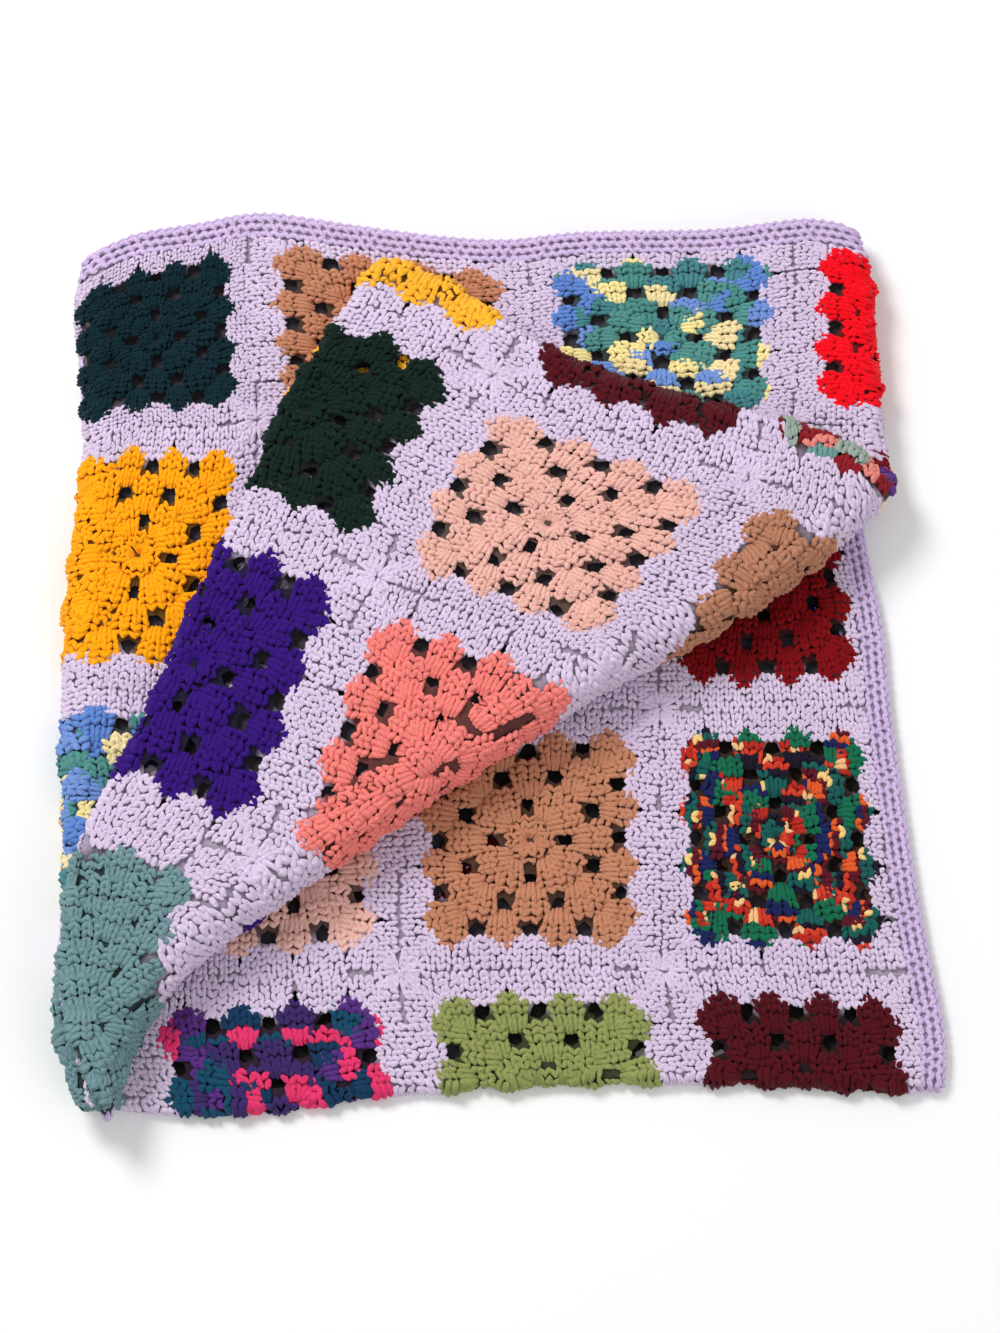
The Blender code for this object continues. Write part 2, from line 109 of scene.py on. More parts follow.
TURN_CURVE = (  # place along the turning line, how far it bows out
    (-352, 70), (-338, 62), (-322, 48), (-305, 32), (-281, 18), (-258, 7), (-235, 1),
    (-190, -1), (-60, -4), (30, -3), (120, 5), (180, 3), (230, -6))
SWELLS = (  # x, y, reach, share of the height
    (-60, -20, 150, 0.06), (120, 60, 110, 0.05), (-150, -170, 90, 0.06),
    (-180, 200, 110, -0.14), (0, 235, 120, -0.17), (170, 225, 110, -0.15),
    (150, -170, 130, 0.05), (235, -230, 60, -0.05), (-215, 30, 70, -0.05))
PULLS = (  # x, y, reach, move in x, move in y
    (-222, -205, 45, -12, -4), (-215, -250, 28, -2, -12))
PINCH = (-222.0, -258.0, 50.0)     # x, y, reach
ROUNDING = ((-24, 0.1), (-12, 0.2), (0, 0.4), (12, 0.2), (24, 0.1))  # shift, weight


def spread(table, places):
    """Read a two-column table at the given places, with its corners rounded."""
    table = np.array(table, float)
    total = 0.0
    for shift, weight in ROUNDING:
        total = total + weight * np.interp(places + shift, table[:, 0], table[:, 1])
    return total


def smooth_step(low, high, value):
    """0 below a range of values, 1 above it, and a soft rise between."""
    share = np.clip((value - low) / (high - low), 0.0, 1.0)
    return share * share * (3.0 - 2.0 * share)


def doubled_and_thirded(along, across):
    """The sheet doubled at the near edge and folded in thirds, with straight edges."""
    turn = np.clip(np.abs(across) / HAIRPIN, 0.0, pi / 2)
    side = np.sign(across)
    out = side * HAIRPIN * np.sin(turn)
    y = NEAR - HAIRPIN * np.cos(turn) + np.maximum(np.abs(across) - HAIRPIN_BEND, 0.0)

    left = np.clip((along - LOWER_LENGTH) / LEFT_RADIUS, 0.0, pi)
    right = np.clip((along - TOP_LENGTH) / RIGHT_RADIUS, 0.0, pi)
    on_top = np.clip(along - LEFT_BEND, 0.0, RIGHT - LEFT)
    in_middle = np.maximum(along - RIGHT_BEND, 0.0)
    x = LOWER_END - np.minimum(along, LOWER_LENGTH) + on_top - in_middle
    x = x - (LEFT_RADIUS + out) * np.sin(left) + (RIGHT_RADIUS + out) * np.sin(right)
    z = np.where(
        along < TOP_LENGTH,
        (BOTTOM_MID + TOP_MID) / 2 - (LEFT_RADIUS + out) * np.cos(left),
        (MIDDLE_MID + TOP_MID) / 2 + (RIGHT_RADIUS + out) * np.cos(right))
    return x, y, z


def drawn_edges(x, y, z):
    """Move the straight edges to where the real packet's edges lie."""
    level = smooth_step(LOWER_LEVEL, UPPER_LEVEL, z)
    reach = LEFT_RADIUS + HAIRPIN
    ideal_left = LEFT - reach
    ideal_right = (1.0 - level) * LOWER_END + level * (RIGHT + RIGHT_RADIUS + HAIRPIN)
    share = (x - ideal_left) / (ideal_right - ideal_left)
    left = spread(LEFT_EDGE, y)
    right = (1.0 - level) * spread(LOWER_RIGHT_EDGE, y) + level * spread(RIGHT_EDGE, y)
    new_x = left + share * (right - left)

    share = (y - (NEAR - HAIRPIN)) / (FAR - NEAR + HAIRPIN)
    near = (1.0 - level) * spread(LOWER_NEAR_EDGE, x) + level * spread(NEAR_EDGE, x)
    far = spread(FAR_EDGE, x)
    return new_x, near + share * (far - near), z


def beyond_turn(x, y, *_):
    """How far points of the folded sheet lie beyond the turning line."""
    beyond = x * TURN_OUT[0] + y * TURN_OUT[1] - TURN_OFFSET
    return beyond - spread(TURN_CURVE, x * TURN_ALONG[0] + y * TURN_ALONG[1])


def turned_back(x, y, z):
    """Turn what lies beyond the slanting line, on the four upper layers, back over."""
    beyond = beyond_turn(x, y)
    upper = z > (LOWER_LEVEL + UPPER_LEVEL) / 2
    angle = np.where(upper, np.clip(beyond / TURN_ARC, 0.0, 1.0) * pi, 0.0)
    depth = TURN_HEIGHT - z
    flat = np.where(upper, np.maximum(beyond - TURN_ARC, 0.0), 0.0)
    stay = np.where(upper, np.minimum(beyond, 0.0), beyond)
    move = stay + depth * np.sin(angle) - flat - beyond
    return (x + move * TURN_OUT[0], y + move * TURN_OUT[1],
            TURN_HEIGHT - depth * np.cos(angle))


def nearness(x, y, centre_x, centre_y, reach):
    """1 at a centre, and falling off round it."""
    return np.exp(-((x - centre_x) ** 2 + (y - centre_y) ** 2) / reach ** 2)


def settled(x, y, z):
    """Soft lifts and slumps of the height, and small pulls sideways."""
    scale = 1.0
    for *where, share in SWELLS:
        scale = scale + share * nearness(x, y, *where)
    lift = smooth_step(SHEET, 4.0 * PITCH, z)
    turned = smooth_step(MIDDLE_MID, TURN_HEIGHT, z)
    move_x = move_y = 0.0
    for *where, pull_x, pull_y in PULLS:
        share = nearness(x, y, *where)
        move_x = move_x + pull_x * share * turned
        move_y = move_y + pull_y * share * turned
    return x + move_x, y + move_y, z * (1.0 + (scale - 1.0) * lift)


def place(along, across):
    """The middle surface of the folded blanket at sheet coordinates."""
    along = np.asarray(along, float)
    across = np.asarray(across, float)
    point = turned_back(*drawn_edges(*doubled_and_thirded(along, across)))
    return np.stack(settled(*point), axis=-1)


def place_with_normal(along, across, step=0.6):
    """The middle surface and its unit normals."""
    down = place(along + step, across) - place(along - step, across)
    over = place(along, across + step) - place(along, across - step)
    normal = np.cross(down, over)
    normal /= np.maximum(np.linalg.norm(normal, axis=-1, keepdims=True), 1e-9)
    return place(along, across), normal


REST = 1.6      # below this height the relief is pressed flat against the floor
PRESS = 0.55    # how much of the relief the pinched corner takes away


def above_floor(height):
    """Heights in millimetres, pressed against the floor where they are low."""
    low = np.minimum(height, REST)
    return np.where(height < REST, REST * np.exp((low - REST) / REST), height)


def laid(spots, height):
    """Points of the folded cloth in metres, for sheet spots and heights over its middle."""
    middle, normal = place_with_normal(spots[..., 0], spots[..., 1])
    keep = 1.0 - PRESS * nearness(middle[..., 0], middle[..., 1], *PINCH)
    point = middle + normal * (height * keep)[..., None]
    point[..., 2] = above_floor(point[..., 2])
    point[..., 0] -= SHIFT_X
    point[..., 1] += SHIFT_Y
    return point * MM


# ---------------------------------------------------------------- the squares
# Where the seams cross, as (along, across) on the sheet.
TOP_SEAMS = (  # rows from the far border, columns from the left fold
    ((455, 476), (560, 485), (724, 484), (879, 486), (1027, 487)),
    ((446, 383), (561, 377), (718, 374), (869, 370), (1023, 372)),
    ((425, 232), (565, 234), (705, 231), (860, 228), (1018, 230)),
    ((422, 89), (562, 88), (709, 86), (863, 86), (1013, 86)),
    ((420, -72), (562, -62), (709, -62), (863, -62), (1013, -62)))
LOWER_SEAMS = (  # rows from the far border, columns from the left fold
    ((426, -370), (271, -366), (119, -363), (6, -363)),
    ((419, -219), (275, -214), (128, -213), (5, -214)),
    ((422, -72), (281, -66), (142, -62), (9, -64)),
    ((422, 89), (276, 88), (130, 90), (7, 88)))
TURNED_SEAMS = (  # rows from the flap's far corner, columns from the near hairpin
    ((807, -63), (807, 86), (806, 236), (804, 384)),
    ((955, -62), (951, 86), (952, 239), (944, 384)),
    ((1088, -62), (1086, 87), (1080, 222), (1072, 368)),
    ((1262, -60), (1250, 93), (1253, 234), (1256, 380)),
    ((1402, -60), (1396, 90), (1398, 230), (1400, 376)))
UNDER_SEAMS = (  # the underside, rows from the far border, columns from the left fold
    *(tuple((along, across) for along in (422, 276, 130, 6)) for across in (486, 380, 235)),
    LOWER_SEAMS[-1])

TOP_YARNS = (
    ("dark_teal", "caramel", "blue_mix", "red"),
    ("orange", "peach", "lime", "night_mix"),
    ("blue_mix", "maroon", "golden", "coral"),
    ("sage",))
LOWER_YARNS = (
    ("sage", "purple", "dark_red"),
    ("peach_tan", "caramel", "fire_mix"),
    ("night_mix", "lime", "maroon"))
TURNED_YARNS = (
    ("golden", "maroon", "rose_mix"),
    ("forest", "peach", "camel"),
    ("purple", "coral", "golden"),
    ("sage", "purple", "lime"))
UNDER_YARNS = (
    ("coral", "forest", "golden"),
    ("lime", "peach", "purple"),
    ("orange", "dark_red", "caramel"))
FACES = {  # the seams and yarns of each face
    "top": (TOP_SEAMS, TOP_YARNS), "lower": (LOWER_SEAMS, LOWER_YARNS),
    "turned": (TURNED_SEAMS, TURNED_YARNS), "under": (UNDER_SEAMS, UNDER_YARNS)}
NETS = {face: np.array(seams, float) for face, (seams, _) in FACES.items()}
SQUARES = [(face, row, column, yarn)
           for face, (_, yarns) in FACES.items()
           for row, line in enumerate(yarns)
           for column, yarn in enumerate(line)]


def in_square(square, spots):
    """Points (a, b) of a square, each from -1 to 1, in sheet coordinates."""
    face, row, column, _ = square
    far_ends, near_ends = NETS[face][row:row + 2, column:column + 2]
    right = (1.0 + spots[..., 0:1]) / 2
    near = (1.0 - spots[..., 1:2]) / 2
    far_side = far_ends[0] * (1 - right) + far_ends[1] * right
    near_side = near_ends[0] * (1 - right) + near_ends[1] * right
    return far_side * (1 - near) + near_side * near


# ---------------------------------------------------------------- yarn
PLAIN_YARNS = {  # colours as sRGB
    "lavender": (0.85, 0.78, 0.88), "lilac": (0.81, 0.72, 0.87), "coral": (0.94, 0.51, 0.48),
    "peach": (0.91, 0.71, 0.66), "peach_tan": (0.92, 0.73, 0.68), "caramel": (0.76, 0.52, 0.40),
    "camel": (0.72, 0.50, 0.39), "orange": (1.00, 0.66, 0.02), "golden": (0.98, 0.71, 0.18),
    "red": (0.97, 0.00, 0.11), "dark_red": (0.51, 0.00, 0.04), "maroon": (0.33, 0.03, 0.09),
    "purple": (0.20, 0.04, 0.46), "forest": (0.03, 0.13, 0.10), "dark_teal": (0.01, 0.15, 0.19),
    "sage": (0.44, 0.57, 0.59), "lime": (0.57, 0.60, 0.35)}
DYED_YARNS = {  # each colour as sRGB and how many stitches it lasts, as the yarn comes off
    "blue_mix": (
        (0.38, 0.53, 0.80, 34), (0.30, 0.55, 0.53, 30), (0.96, 0.89, 0.62, 38),
        (0.33, 0.57, 0.55, 36), (0.45, 0.58, 0.83, 32), (0.95, 0.87, 0.66, 30),
        (0.28, 0.52, 0.54, 28)),
    "fire_mix": (
        (0.82, 0.24, 0.15, 6), (0.93, 0.74, 0.52, 2), (0.72, 0.16, 0.12, 5),
        (0.06, 0.42, 0.30, 14), (0.09, 0.13, 0.35, 8), (0.88, 0.36, 0.16, 5),
        (0.36, 0.07, 0.14, 6), (0.95, 0.80, 0.50, 2), (0.08, 0.36, 0.34, 9),
        (0.10, 0.08, 0.16, 6)),
    "night_mix": (
        (0.07, 0.29, 0.40, 30), (0.35, 0.18, 0.50, 26), (0.90, 0.22, 0.44, 24),
        (0.06, 0.22, 0.36, 30), (0.88, 0.21, 0.42, 16), (0.24, 0.16, 0.40, 28)),
    "rose_mix": (
        (0.48, 0.05, 0.13, 12), (0.95, 0.84, 0.74, 20), (0.42, 0.60, 0.58, 12),
        (0.88, 0.52, 0.48, 13), (0.55, 0.10, 0.14, 10), (0.60, 0.66, 0.62, 12))}
SHARED_SLOTS = {"lilac": "lavender", "peach_tan": "peach", "camel": "caramel",
                "rose_mix": "fire_mix"}
YARNS = {  # each yarn's slot in the record and its rows of red, green, blue, stitches
    name: (SHARED_SLOTS.get(name, name) + "_yarn", np.array(rows))
    for name, rows in ({name: ((*colour, 1),) for name, colour in PLAIN_YARNS.items()}
                       | DYED_YARNS).items()}


def linear(colour):
    """An sRGB colour as the shaders want it."""
    return np.where(colour <= 0.04045, colour / 12.92, ((colour + 0.055) / 1.055) ** 2.4)


def plain_tone(yarn, count):
    """The colour of a plain yarn, once for each point."""
    return np.tile(linear(YARNS[yarn][1][0, :3]), (count, 1))


# ---------------------------------------------------------------- stitches, drawn flat
ARCH_LOW = radians(-28)    # where a strand's arch starts, below its widest place
ARCH_HIGH = radians(208)


class Drawing:
    """Strands of yarn in local millimetres: x along the round, y outward, z up."""

    def __init__(self, sides, turns=3, arch=(ARCH_LOW, ARCH_HIGH)):
        self.sides = sides
        self.turns = turns
        self.arch = arch
        self.points = []
        self.faces = []
        self.yarn = []       # along the yarn in millimetres, and round it from 0 to 1
        self.stitch = []     # which stitch a point belongs to

    def strand(self, path, radii, stitch=0, extra=0, flat=0.9):
        """A strand through three points: an arch, open where it lies on the cloth."""
        turns = self.turns + extra
        path = np.array(path, float)
        stops = np.linspace(0, 2, turns)
        centre = curve_through(path, stops)
        radius = np.interp(stops, (0, 1, 2), radii)
        ahead = np.gradient(centre, axis=0)
        ahead /= np.linalg.norm(ahead, axis=1, keepdims=True)
        side = np.cross(ahead, (0.0, 0.0, 1.0))
        side /= np.maximum(np.linalg.norm(side, axis=1, keepdims=True), 1e-6)
        up = np.cross(side, ahead)
        steps = np.linalg.norm(np.diff(centre, axis=0), axis=1)
        length = np.concatenate([[0], np.cumsum(steps)])
        first = len(self.points)
        ring = self.sides + 1
        for k, j in product(range(turns), range(ring)):
            angle = self.arch[0] + (self.arch[1] - self.arch[0]) * j / self.sides
            self.points.append(centre[k] + radius[k] * (
                side[k] * cos(angle) + up[k] * sin(angle) * flat))
            self.yarn.append((length[k], angle / tau))
            self.stitch.append(stitch)
        for k, j in product(range(turns - 1), range(self.sides)):
            low = first + k * ring + j
            self.faces.append((low, low + ring, low + ring + 1, low + 1))

    def grain(self, x, y, tilt, tall, radius, height, stitch):
        """A short slanting loop, as the front of a stitch shows it."""
        half = 0.5 * tall * np.array([-sin(tilt), cos(tilt), 0.0])
        spot = np.array([x, y, height])
        self.strand((spot - half - (0, 0, 0.55 * radius), spot,
                     spot + half - (0, 0, 0.55 * radius)),
                    (0.6 * radius, radius, 0.6 * radius), stitch)

    def finished(self):
        """The drawing, with its lists as arrays."""
        for name in ("points", "yarn", "stitch"):
            setattr(self, name, np.array(getattr(self, name)))
        return self


def curve_through(path, stops):
    """Catmull-Rom points of a path at fractional stops."""
    padded = np.concatenate([[2 * path[0] - path[1]], path, [2 * path[-1] - path[-2]]])
    low = np.clip(np.floor(stops).astype(int), 0, len(path) - 2)
    share = (stops - low)[:, None]
    one, two, three, four = (padded[low + k] for k in range(4))
    return 0.5 * (2 * two + (three - one) * share
                  + (2 * one - 5 * two + 4 * three - four) * share ** 2
                  + (3 * two - one - 3 * three + four) * share ** 3)


def uneven(amount):
    """A random number that is usually not much more than this amount, either way."""
    return amount * dice.standard_normal()


KNOB_ROWS = (  # how far out the row lies, its width, height and tilt in degrees
    (-12.9, 17.4, 3.3, 22), (-9.0, 20.0, 5.0, 36), (-5.0, 20.2, 5.2, 36), (-1.4, 17.8, 3.6, 46))
KNOB_PAIRS = 3         # in every row
KNOB_BOW = 0.010       # how much a knob is rounded in plan
KNOB_DOME = 0.027      # and in height
POST_IDS = 6           # stitch numbers that the posts of a group take up


def knob(drawing, shift=0.0, wide=1.0, bow=KNOB_BOW, first=0):
    """The knobbly head of a stitch group: rows of slanting loops in pairs."""
    for row, (out, width, height, tilt) in enumerate(KNOB_ROWS[first:]):
        step = wide * width / (2 * KNOB_PAIRS)
        for k in range(2 * KNOB_PAIRS):
            x = (k - KNOB_PAIRS + 0.5) * step
            way = 1 if k % 2 else -1
            drawing.grain(x + 0.1 * way * step + uneven(0.25),
                          out + shift - bow * x * x + uneven(0.3),
                          -way * radians(tilt) - 2 * bow * x + uneven(0.14), 5.0,
                          0.6 * step, height - KNOB_DOME * x * x + uneven(0.3),
                          POST_IDS + 2 * KNOB_PAIRS * row + k)


FAN_FOOT, FAN_HEAD = -22.5, -13.0      # where the posts of a group start and end
FOOT_STEP, HEAD_STEP = 4.4, 6.2        # and how far apart
CENTRE_RING = -15.6    # the middle of the ring from which the first round's posts rise
CENTRE_STEP = radians(30)              # from post to post
CENTRE_BOW = 0.06
STRAND_OUT = 0.23      # how far a post's two strands lie from its middle, in steps of a post


def post_strands(unevenness):
    """The six strands of three posts: stitch number, place in steps, unevenness."""
    for post, way in product(range(3), (-1, 1)):
        yield 2 * post + (way > 0), post - 1 + STRAND_OUT * way, uneven(unevenness)


def fan(sides):
    """A stitch group: three posts of two strands that rise from a space to a knob."""
    drawing = Drawing(sides)
    for stitch, share, stray in post_strands(0.2):
        head = share * HEAD_STEP + stray
        drawing.strand(
            ((share * FOOT_STEP, FAN_FOOT + abs(share), 0.2),
             (share * (0.45 * FOOT_STEP + 0.55 * HEAD_STEP),
              0.5 * (FAN_FOOT + FAN_HEAD), 3.1 - 0.6 * abs(share)),
             (head, FAN_HEAD - KNOB_BOW * head * head, 2.7 - 0.6 * abs(share))),
            (1.2, 1.7, 1.7), stitch)
    knob(drawing)
    return drawing.finished()


def centre_fan(sides):
    """A quarter of the first round: three posts from the ring in the middle."""
    drawing = Drawing(sides)
    for stitch, share, stray in post_strands(0.03):
        out = np.array([sin(share * CENTRE_STEP + stray), cos(share * CENTRE_STEP + stray), 0])
        drawing.strand(
            (out * 2.2 + (0, CENTRE_RING, 0.2), out * 5.6 + (0, CENTRE_RING, 3.3),
             out * 9.4 + (0, CENTRE_RING, 2.7)), (0.8, 1.35, 1.5), stitch, extra=1)
    knob(drawing, shift=-1.6, wide=0.78, bow=CENTRE_BOW, first=2)
    return drawing.finished()


BLOCK_COLUMNS = 5
BLOCK_FOOT, BLOCK_HEAD = 22.0, 29.4    # how wide a joining group is
JOINING_FOOT = -19.0   # and where it starts
LOOP_TILT = radians(27)


def block(sides, rows, radius):
    """A joining group: rows of small slanting loops in pairs, narrower at its foot."""
    drawing = Drawing(sides)
    tall = -JOINING_FOOT / rows
    for row in range(rows):
        share = row / (rows - 1)
        wide = BLOCK_FOOT + (BLOCK_HEAD - BLOCK_FOOT) * smooth_step(0.0, 0.35, share)
        step = wide / BLOCK_COLUMNS
        for column, way in product(range(BLOCK_COLUMNS), (-1, 1)):
            x = (column - (BLOCK_COLUMNS - 1) / 2 + 0.25 * way) * step
            y = JOINING_FOOT + tall * (row + 0.5) + uneven(0.4)
            drawing.grain(x + uneven(0.35), y, -way * LOOP_TILT - 0.01 * x + uneven(0.24),
                          1.12 * tall, radius, 2.9 + 0.5 * sin(pi * share) + uneven(0.3),
                          column)
    return drawing.finished()


BURST_REACH = 12.6


def burst(sides, posts):
    """The star of stitches round a point where four squares meet."""
    drawing = Drawing(sides, turns=sides)
    for k in range(posts):
        angle = tau * (k + uneven(0.12)) / posts
        out = np.array([cos(angle), sin(angle), 0.0])
        reach = BURST_REACH + uneven(1.2)
        drawing.strand((out * 1.4 + (0, 0, 0.4), out * 5.6 + (0, 0, 3.0),
                        out * reach + (0, 0, 2.0)), (0.8, 1.55, 1.35), k, extra=1)
    return drawing.finished()


def border_pair(sides):
    """One stitch of the border: two slanting loops."""
    drawing = Drawing(sides)
    for way in (-1, 1):
        drawing.grain(1.4 * way + uneven(0.2), uneven(0.3), way * radians(-62) + uneven(0.12),
                      6.0, 1.65, 2.0 + uneven(0.2), 0)
    return drawing.finished()


def rim_stitch(sides=5):
    """One stitch of the outermost row, which wraps the cloth's raw edge."""
    drawing = Drawing(sides, arch=(-pi / 2, 3 * pi / 2))
    drawing.strand(((-3.0, -0.4, 1.0 + uneven(0.1)), (0.0, 0.7, 0.2), (3.0, -0.4, -1.1)),
                   (1.0, 1.5, 1.0), flat=1.0)
    return drawing.finished()


GROUP_MIDDLE = -11.0   # from a group's head to its middle
GROUP_LENGTH = 20.0    # and to its foot
PROBES = np.array([(0.0, -4.0), (0.0, GROUP_MIDDLE), (0.0, -18.0), (-8.0, -9.0), (8.0, -9.0)])
PATCH_WAYS = (1, -1, 1, -1)


def patch(sides):
    """A few loops that close a bare place where the cloth bends."""
    drawing = Drawing(sides)
    for row, (k, way) in product((-1, 1), enumerate(PATCH_WAYS)):
        drawing.grain(2.8 * (k - 1.5) + uneven(0.3), GROUP_MIDDLE + 2.1 * row + uneven(0.3),
                      -way * radians(34) + uneven(0.2), 5.0, 1.7, 2.0 + uneven(0.3), 0)
    return drawing.finished()


VARIANTS = 4           # of every drawing


BLOCK_ROWS = {2: 5, 1: 4}              # of loops in a joining group, by rank


def drawings(rank, sides, block_radius, burst_posts):
    """A rank, and uneven variants of every drawing with this many sides to a strand."""
    kinds = {
        "centre": (centre_fan, sides),
        "group": (fan, sides),
        "joining": (block, sides, BLOCK_ROWS[rank], block_radius),
        "border": (border_pair, sides),
        "burst": (burst, sides, burst_posts),
        "rim": (rim_stitch,),
        "patch": (patch, sides)}
    return rank, {kind: [maker(*settings) for _ in range(VARIANTS)]
                  for kind, (maker, *settings) in kinds.items()}


# By rank, which is how a place is seen: 2 from above, 1 only from the sides or below.
DRAWINGS = dict([drawings(2, 4, 1.75, 14), drawings(1, 3, 1.9, 11)])

HALF_SQUARE = 75.0     # what one unit of a square's own coordinates stands for
ROUND = 0.208          # width of a coloured round in those units
ROUNDS = 5             # the last one is the lavender joining round
CORNER_IN = 0.208      # how far in from the corner the corner groups' heads lie
CORNER_LEAN = radians(12)
CORNER_DOWN = 0.015    # how much farther in than the others their heads lie
FOOT_OUT = 0.06        # and how far inside the round before it their feet lie
FOOT_LEVER = 21.0      # from a leaning group's head to its foot, in millimetres
PLAIN_IN = 0.2         # the same as CORNER_IN, in the first and the joining round
GROUP = namedtuple("GROUP", "kind head angle foot")


def quarter_turn(quarter):
    """The matrix that turns a point by this many quarters."""
    turn = quarter * pi / 2
    return np.array([[cos(turn), -sin(turn)], [sin(turn), cos(turn)]])


def square_groups():
    """Every stitch group of a square: kind, head, angle, sideways shift of the foot."""
    groups = []
    for number in range(1, ROUNDS + 1):
        last = number == ROUNDS
        outer = 1.0 if last else number * ROUND
        kind = "centre" if number == 1 else "joining" if last else "group"
        reach = outer - (PLAIN_IN if last or number == 1 else CORNER_IN)
        for quarter, k in product(range(4), range(number)):
            share = 0.0 if number == 1 else 2 * k / (number - 1) - 1
            corner = number > 1 and k in (0, number - 1)
            head = np.array([share * reach, outer - (CORNER_DOWN if corner else 0.0)])
            lean = foot = 0.0
            if corner and not last:
                lean = -share * CORNER_LEAN
                foot = (share * ((number - 1) * ROUND - FOOT_OUT) - head[0]) * HALF_SQUARE
                foot += FOOT_LEVER * sin(-lean)
            groups.append(GROUP(kind, quarter_turn(quarter) @ head,
                                quarter * pi / 2 + lean, foot))
    return groups


GROUPS = square_groups()


# ---------------------------------------------------------------- gaps and the backing
GAP_ROUNDS = (2, 3, 4)
GAP_HALF = 4.3         # half the width of a space between coloured groups
CORNER_HALF = 3.0      # and of the one that the corner groups rise from
NOTCH_HALF = 2.6       # and of the small one over each knob of the last coloured round
SPACE_IN = 0.13        # how far in from a round's outer edge its spaces lie
CORNER_SPACE_IN = 0.11
NOTCH_OUT = 0.035      # how far out from the last coloured round the notches lie
GAP_MARGIN = 2.0 * GAP_HALF
GAP_SIDES = 6
GAP_APART = 1.5        # least cloth between two gaps
GAP_GROW = 1.1         # a gap's corners lie this many times half its width out
GAP_UNEVEN = 0.2


def gap_places():
    """Spaces between stitch groups, in a square's own coordinates, with their sizes."""
    places = []
    for quarter in range(4):
        spin = quarter_turn(quarter)
        for number in GAP_ROUNDS:
            out = number * ROUND - SPACE_IN
            reach = number * ROUND - CORNER_IN
            for k in range(number - 1):
                share = (2 * k + 1) / (number - 1) - 1
                places.append((*(spin @ (share * reach, out)), GAP_HALF))
            out = number * ROUND - CORNER_SPACE_IN
            places.append((*(spin @ (out, out)), CORNER_HALF))
        last = ROUNDS - 1
        for k in range(last):
            share = 2 * k / (last - 1) - 1
            spot = spin @ (share * (last * ROUND - CORNER_IN), last * ROUND + NOTCH_OUT)
            places.append((*spot, NOTCH_HALF))
    return np.array(places)


TIP_SQUARES = (("turned", 3, 0), ("top", 3, 0))    # they wrap the pinched corner
BACKING = 1.7          # thickness of the backing under the yarn
GRID_STEP = 11.0       # of the flat backing where it stays flat
HAIRPIN_STEPS, LEFT_STEPS, RIGHT_STEPS, TURN_STEPS = 4, 10, 7, 7    # round each bend


def evenly(low, high, step):
    """Even places from low to high, about a step apart."""
    return np.linspace(low, high, max(2, round((high - low) / step) + 1))


LOOP_POINTS = 132      # on each line of the turning bend
LOOP_REACH = (560.0, 400.0)            # shape of the ring they are sought from
LOOP_FURTHEST = 1.6    # and how many times its size is the farthest place
LOOP_HALVINGS = 30


def turn_loop(level):
    """One closed line of the turning bend, round the corner that is turned back."""
    spots = []
    for quarter, k in product(range(4), range(LOOP_POINTS // 4)):
        share = k / (LOOP_POINTS // 4)
        share = share - 0.06 * sin(tau * share)
        first, second = LOOP_REACH[::-1 if quarter % 2 else 1]
        spots.append(quarter_turn(quarter) @ ((1 - share) * first, share * second))
    spots = np.array(spots)
    low = np.zeros(len(spots))
    high = np.full(len(spots), LOOP_FURTHEST)
    for _ in range(LOOP_HALVINGS):
        middle = (low + high) / 2
        inside = beyond_turn(*drawn_edges(*doubled_and_thirded(
            CORNER_ALONG + spots[:, 0] * middle, spots[:, 1] * middle))) > level
        low = np.where(inside, middle, low)
        high = np.where(inside, high, middle)
    return np.stack([CORNER_ALONG + spots[:, 0] * low, spots[:, 1] * low], axis=1)


def nearest(places, spot):
    """How far the nearest of some places on the sheet is from a spot."""
    return np.min(np.hypot(*(places - spot).T), initial=np.inf)


def clear_of_bends(spots, margin):
    """Which spots keep their distance from every bend and edge of the sheet."""
    along, across = spots.T
    beyond = beyond_turn(*drawn_edges(*doubled_and_thirded(along, across)))

    def within(value, low, high, grow=margin):
        """Whether values lie in a range, with a margin added to it."""
        return (value > low - grow) & (value < high + grow)

    return (within(np.abs(across), HAIRPIN_BEND, HALF_WIDTH, -margin)
            & within(along, 0.0, SHEET_LENGTH, -margin)
            & ~within(along, LOWER_LENGTH, LEFT_BEND)
            & ~within(along, TOP_LENGTH, RIGHT_BEND)
            & ~((along > LEFT_BEND) & within(beyond, 0.0, TURN_ARC)))


LOWER_START = 3.0      # where the squares of the bottom third begin on the sheet
TOP_END = RIGHT_BEND + 12.0
TURNED_END = SHEET_LENGTH - 2.0
TUCKED_LIMIT = -15.0   # the turned squares of the middle third begin before the turn


def owner(face, spots):
    """Whether sheet spots belong to a face: the turned part against the rest."""
    along, across = spots[..., 0], spots[..., 1]
    beyond = beyond_turn(*drawn_edges(*doubled_and_thirded(along, across)))
    limit = np.where(along > CORNER_ALONG, TUCKED_LIMIT, TURN_ARC / 2)
    if face == "turned":
        return (along > LEFT_BEND) & (along < TURNED_END) & (beyond > limit)
    if face == "top":
        return (along < TOP_END) & (beyond < limit) | (along < LEFT_BEND)
    return (along > LOWER_START) & (along < LEFT_BEND)


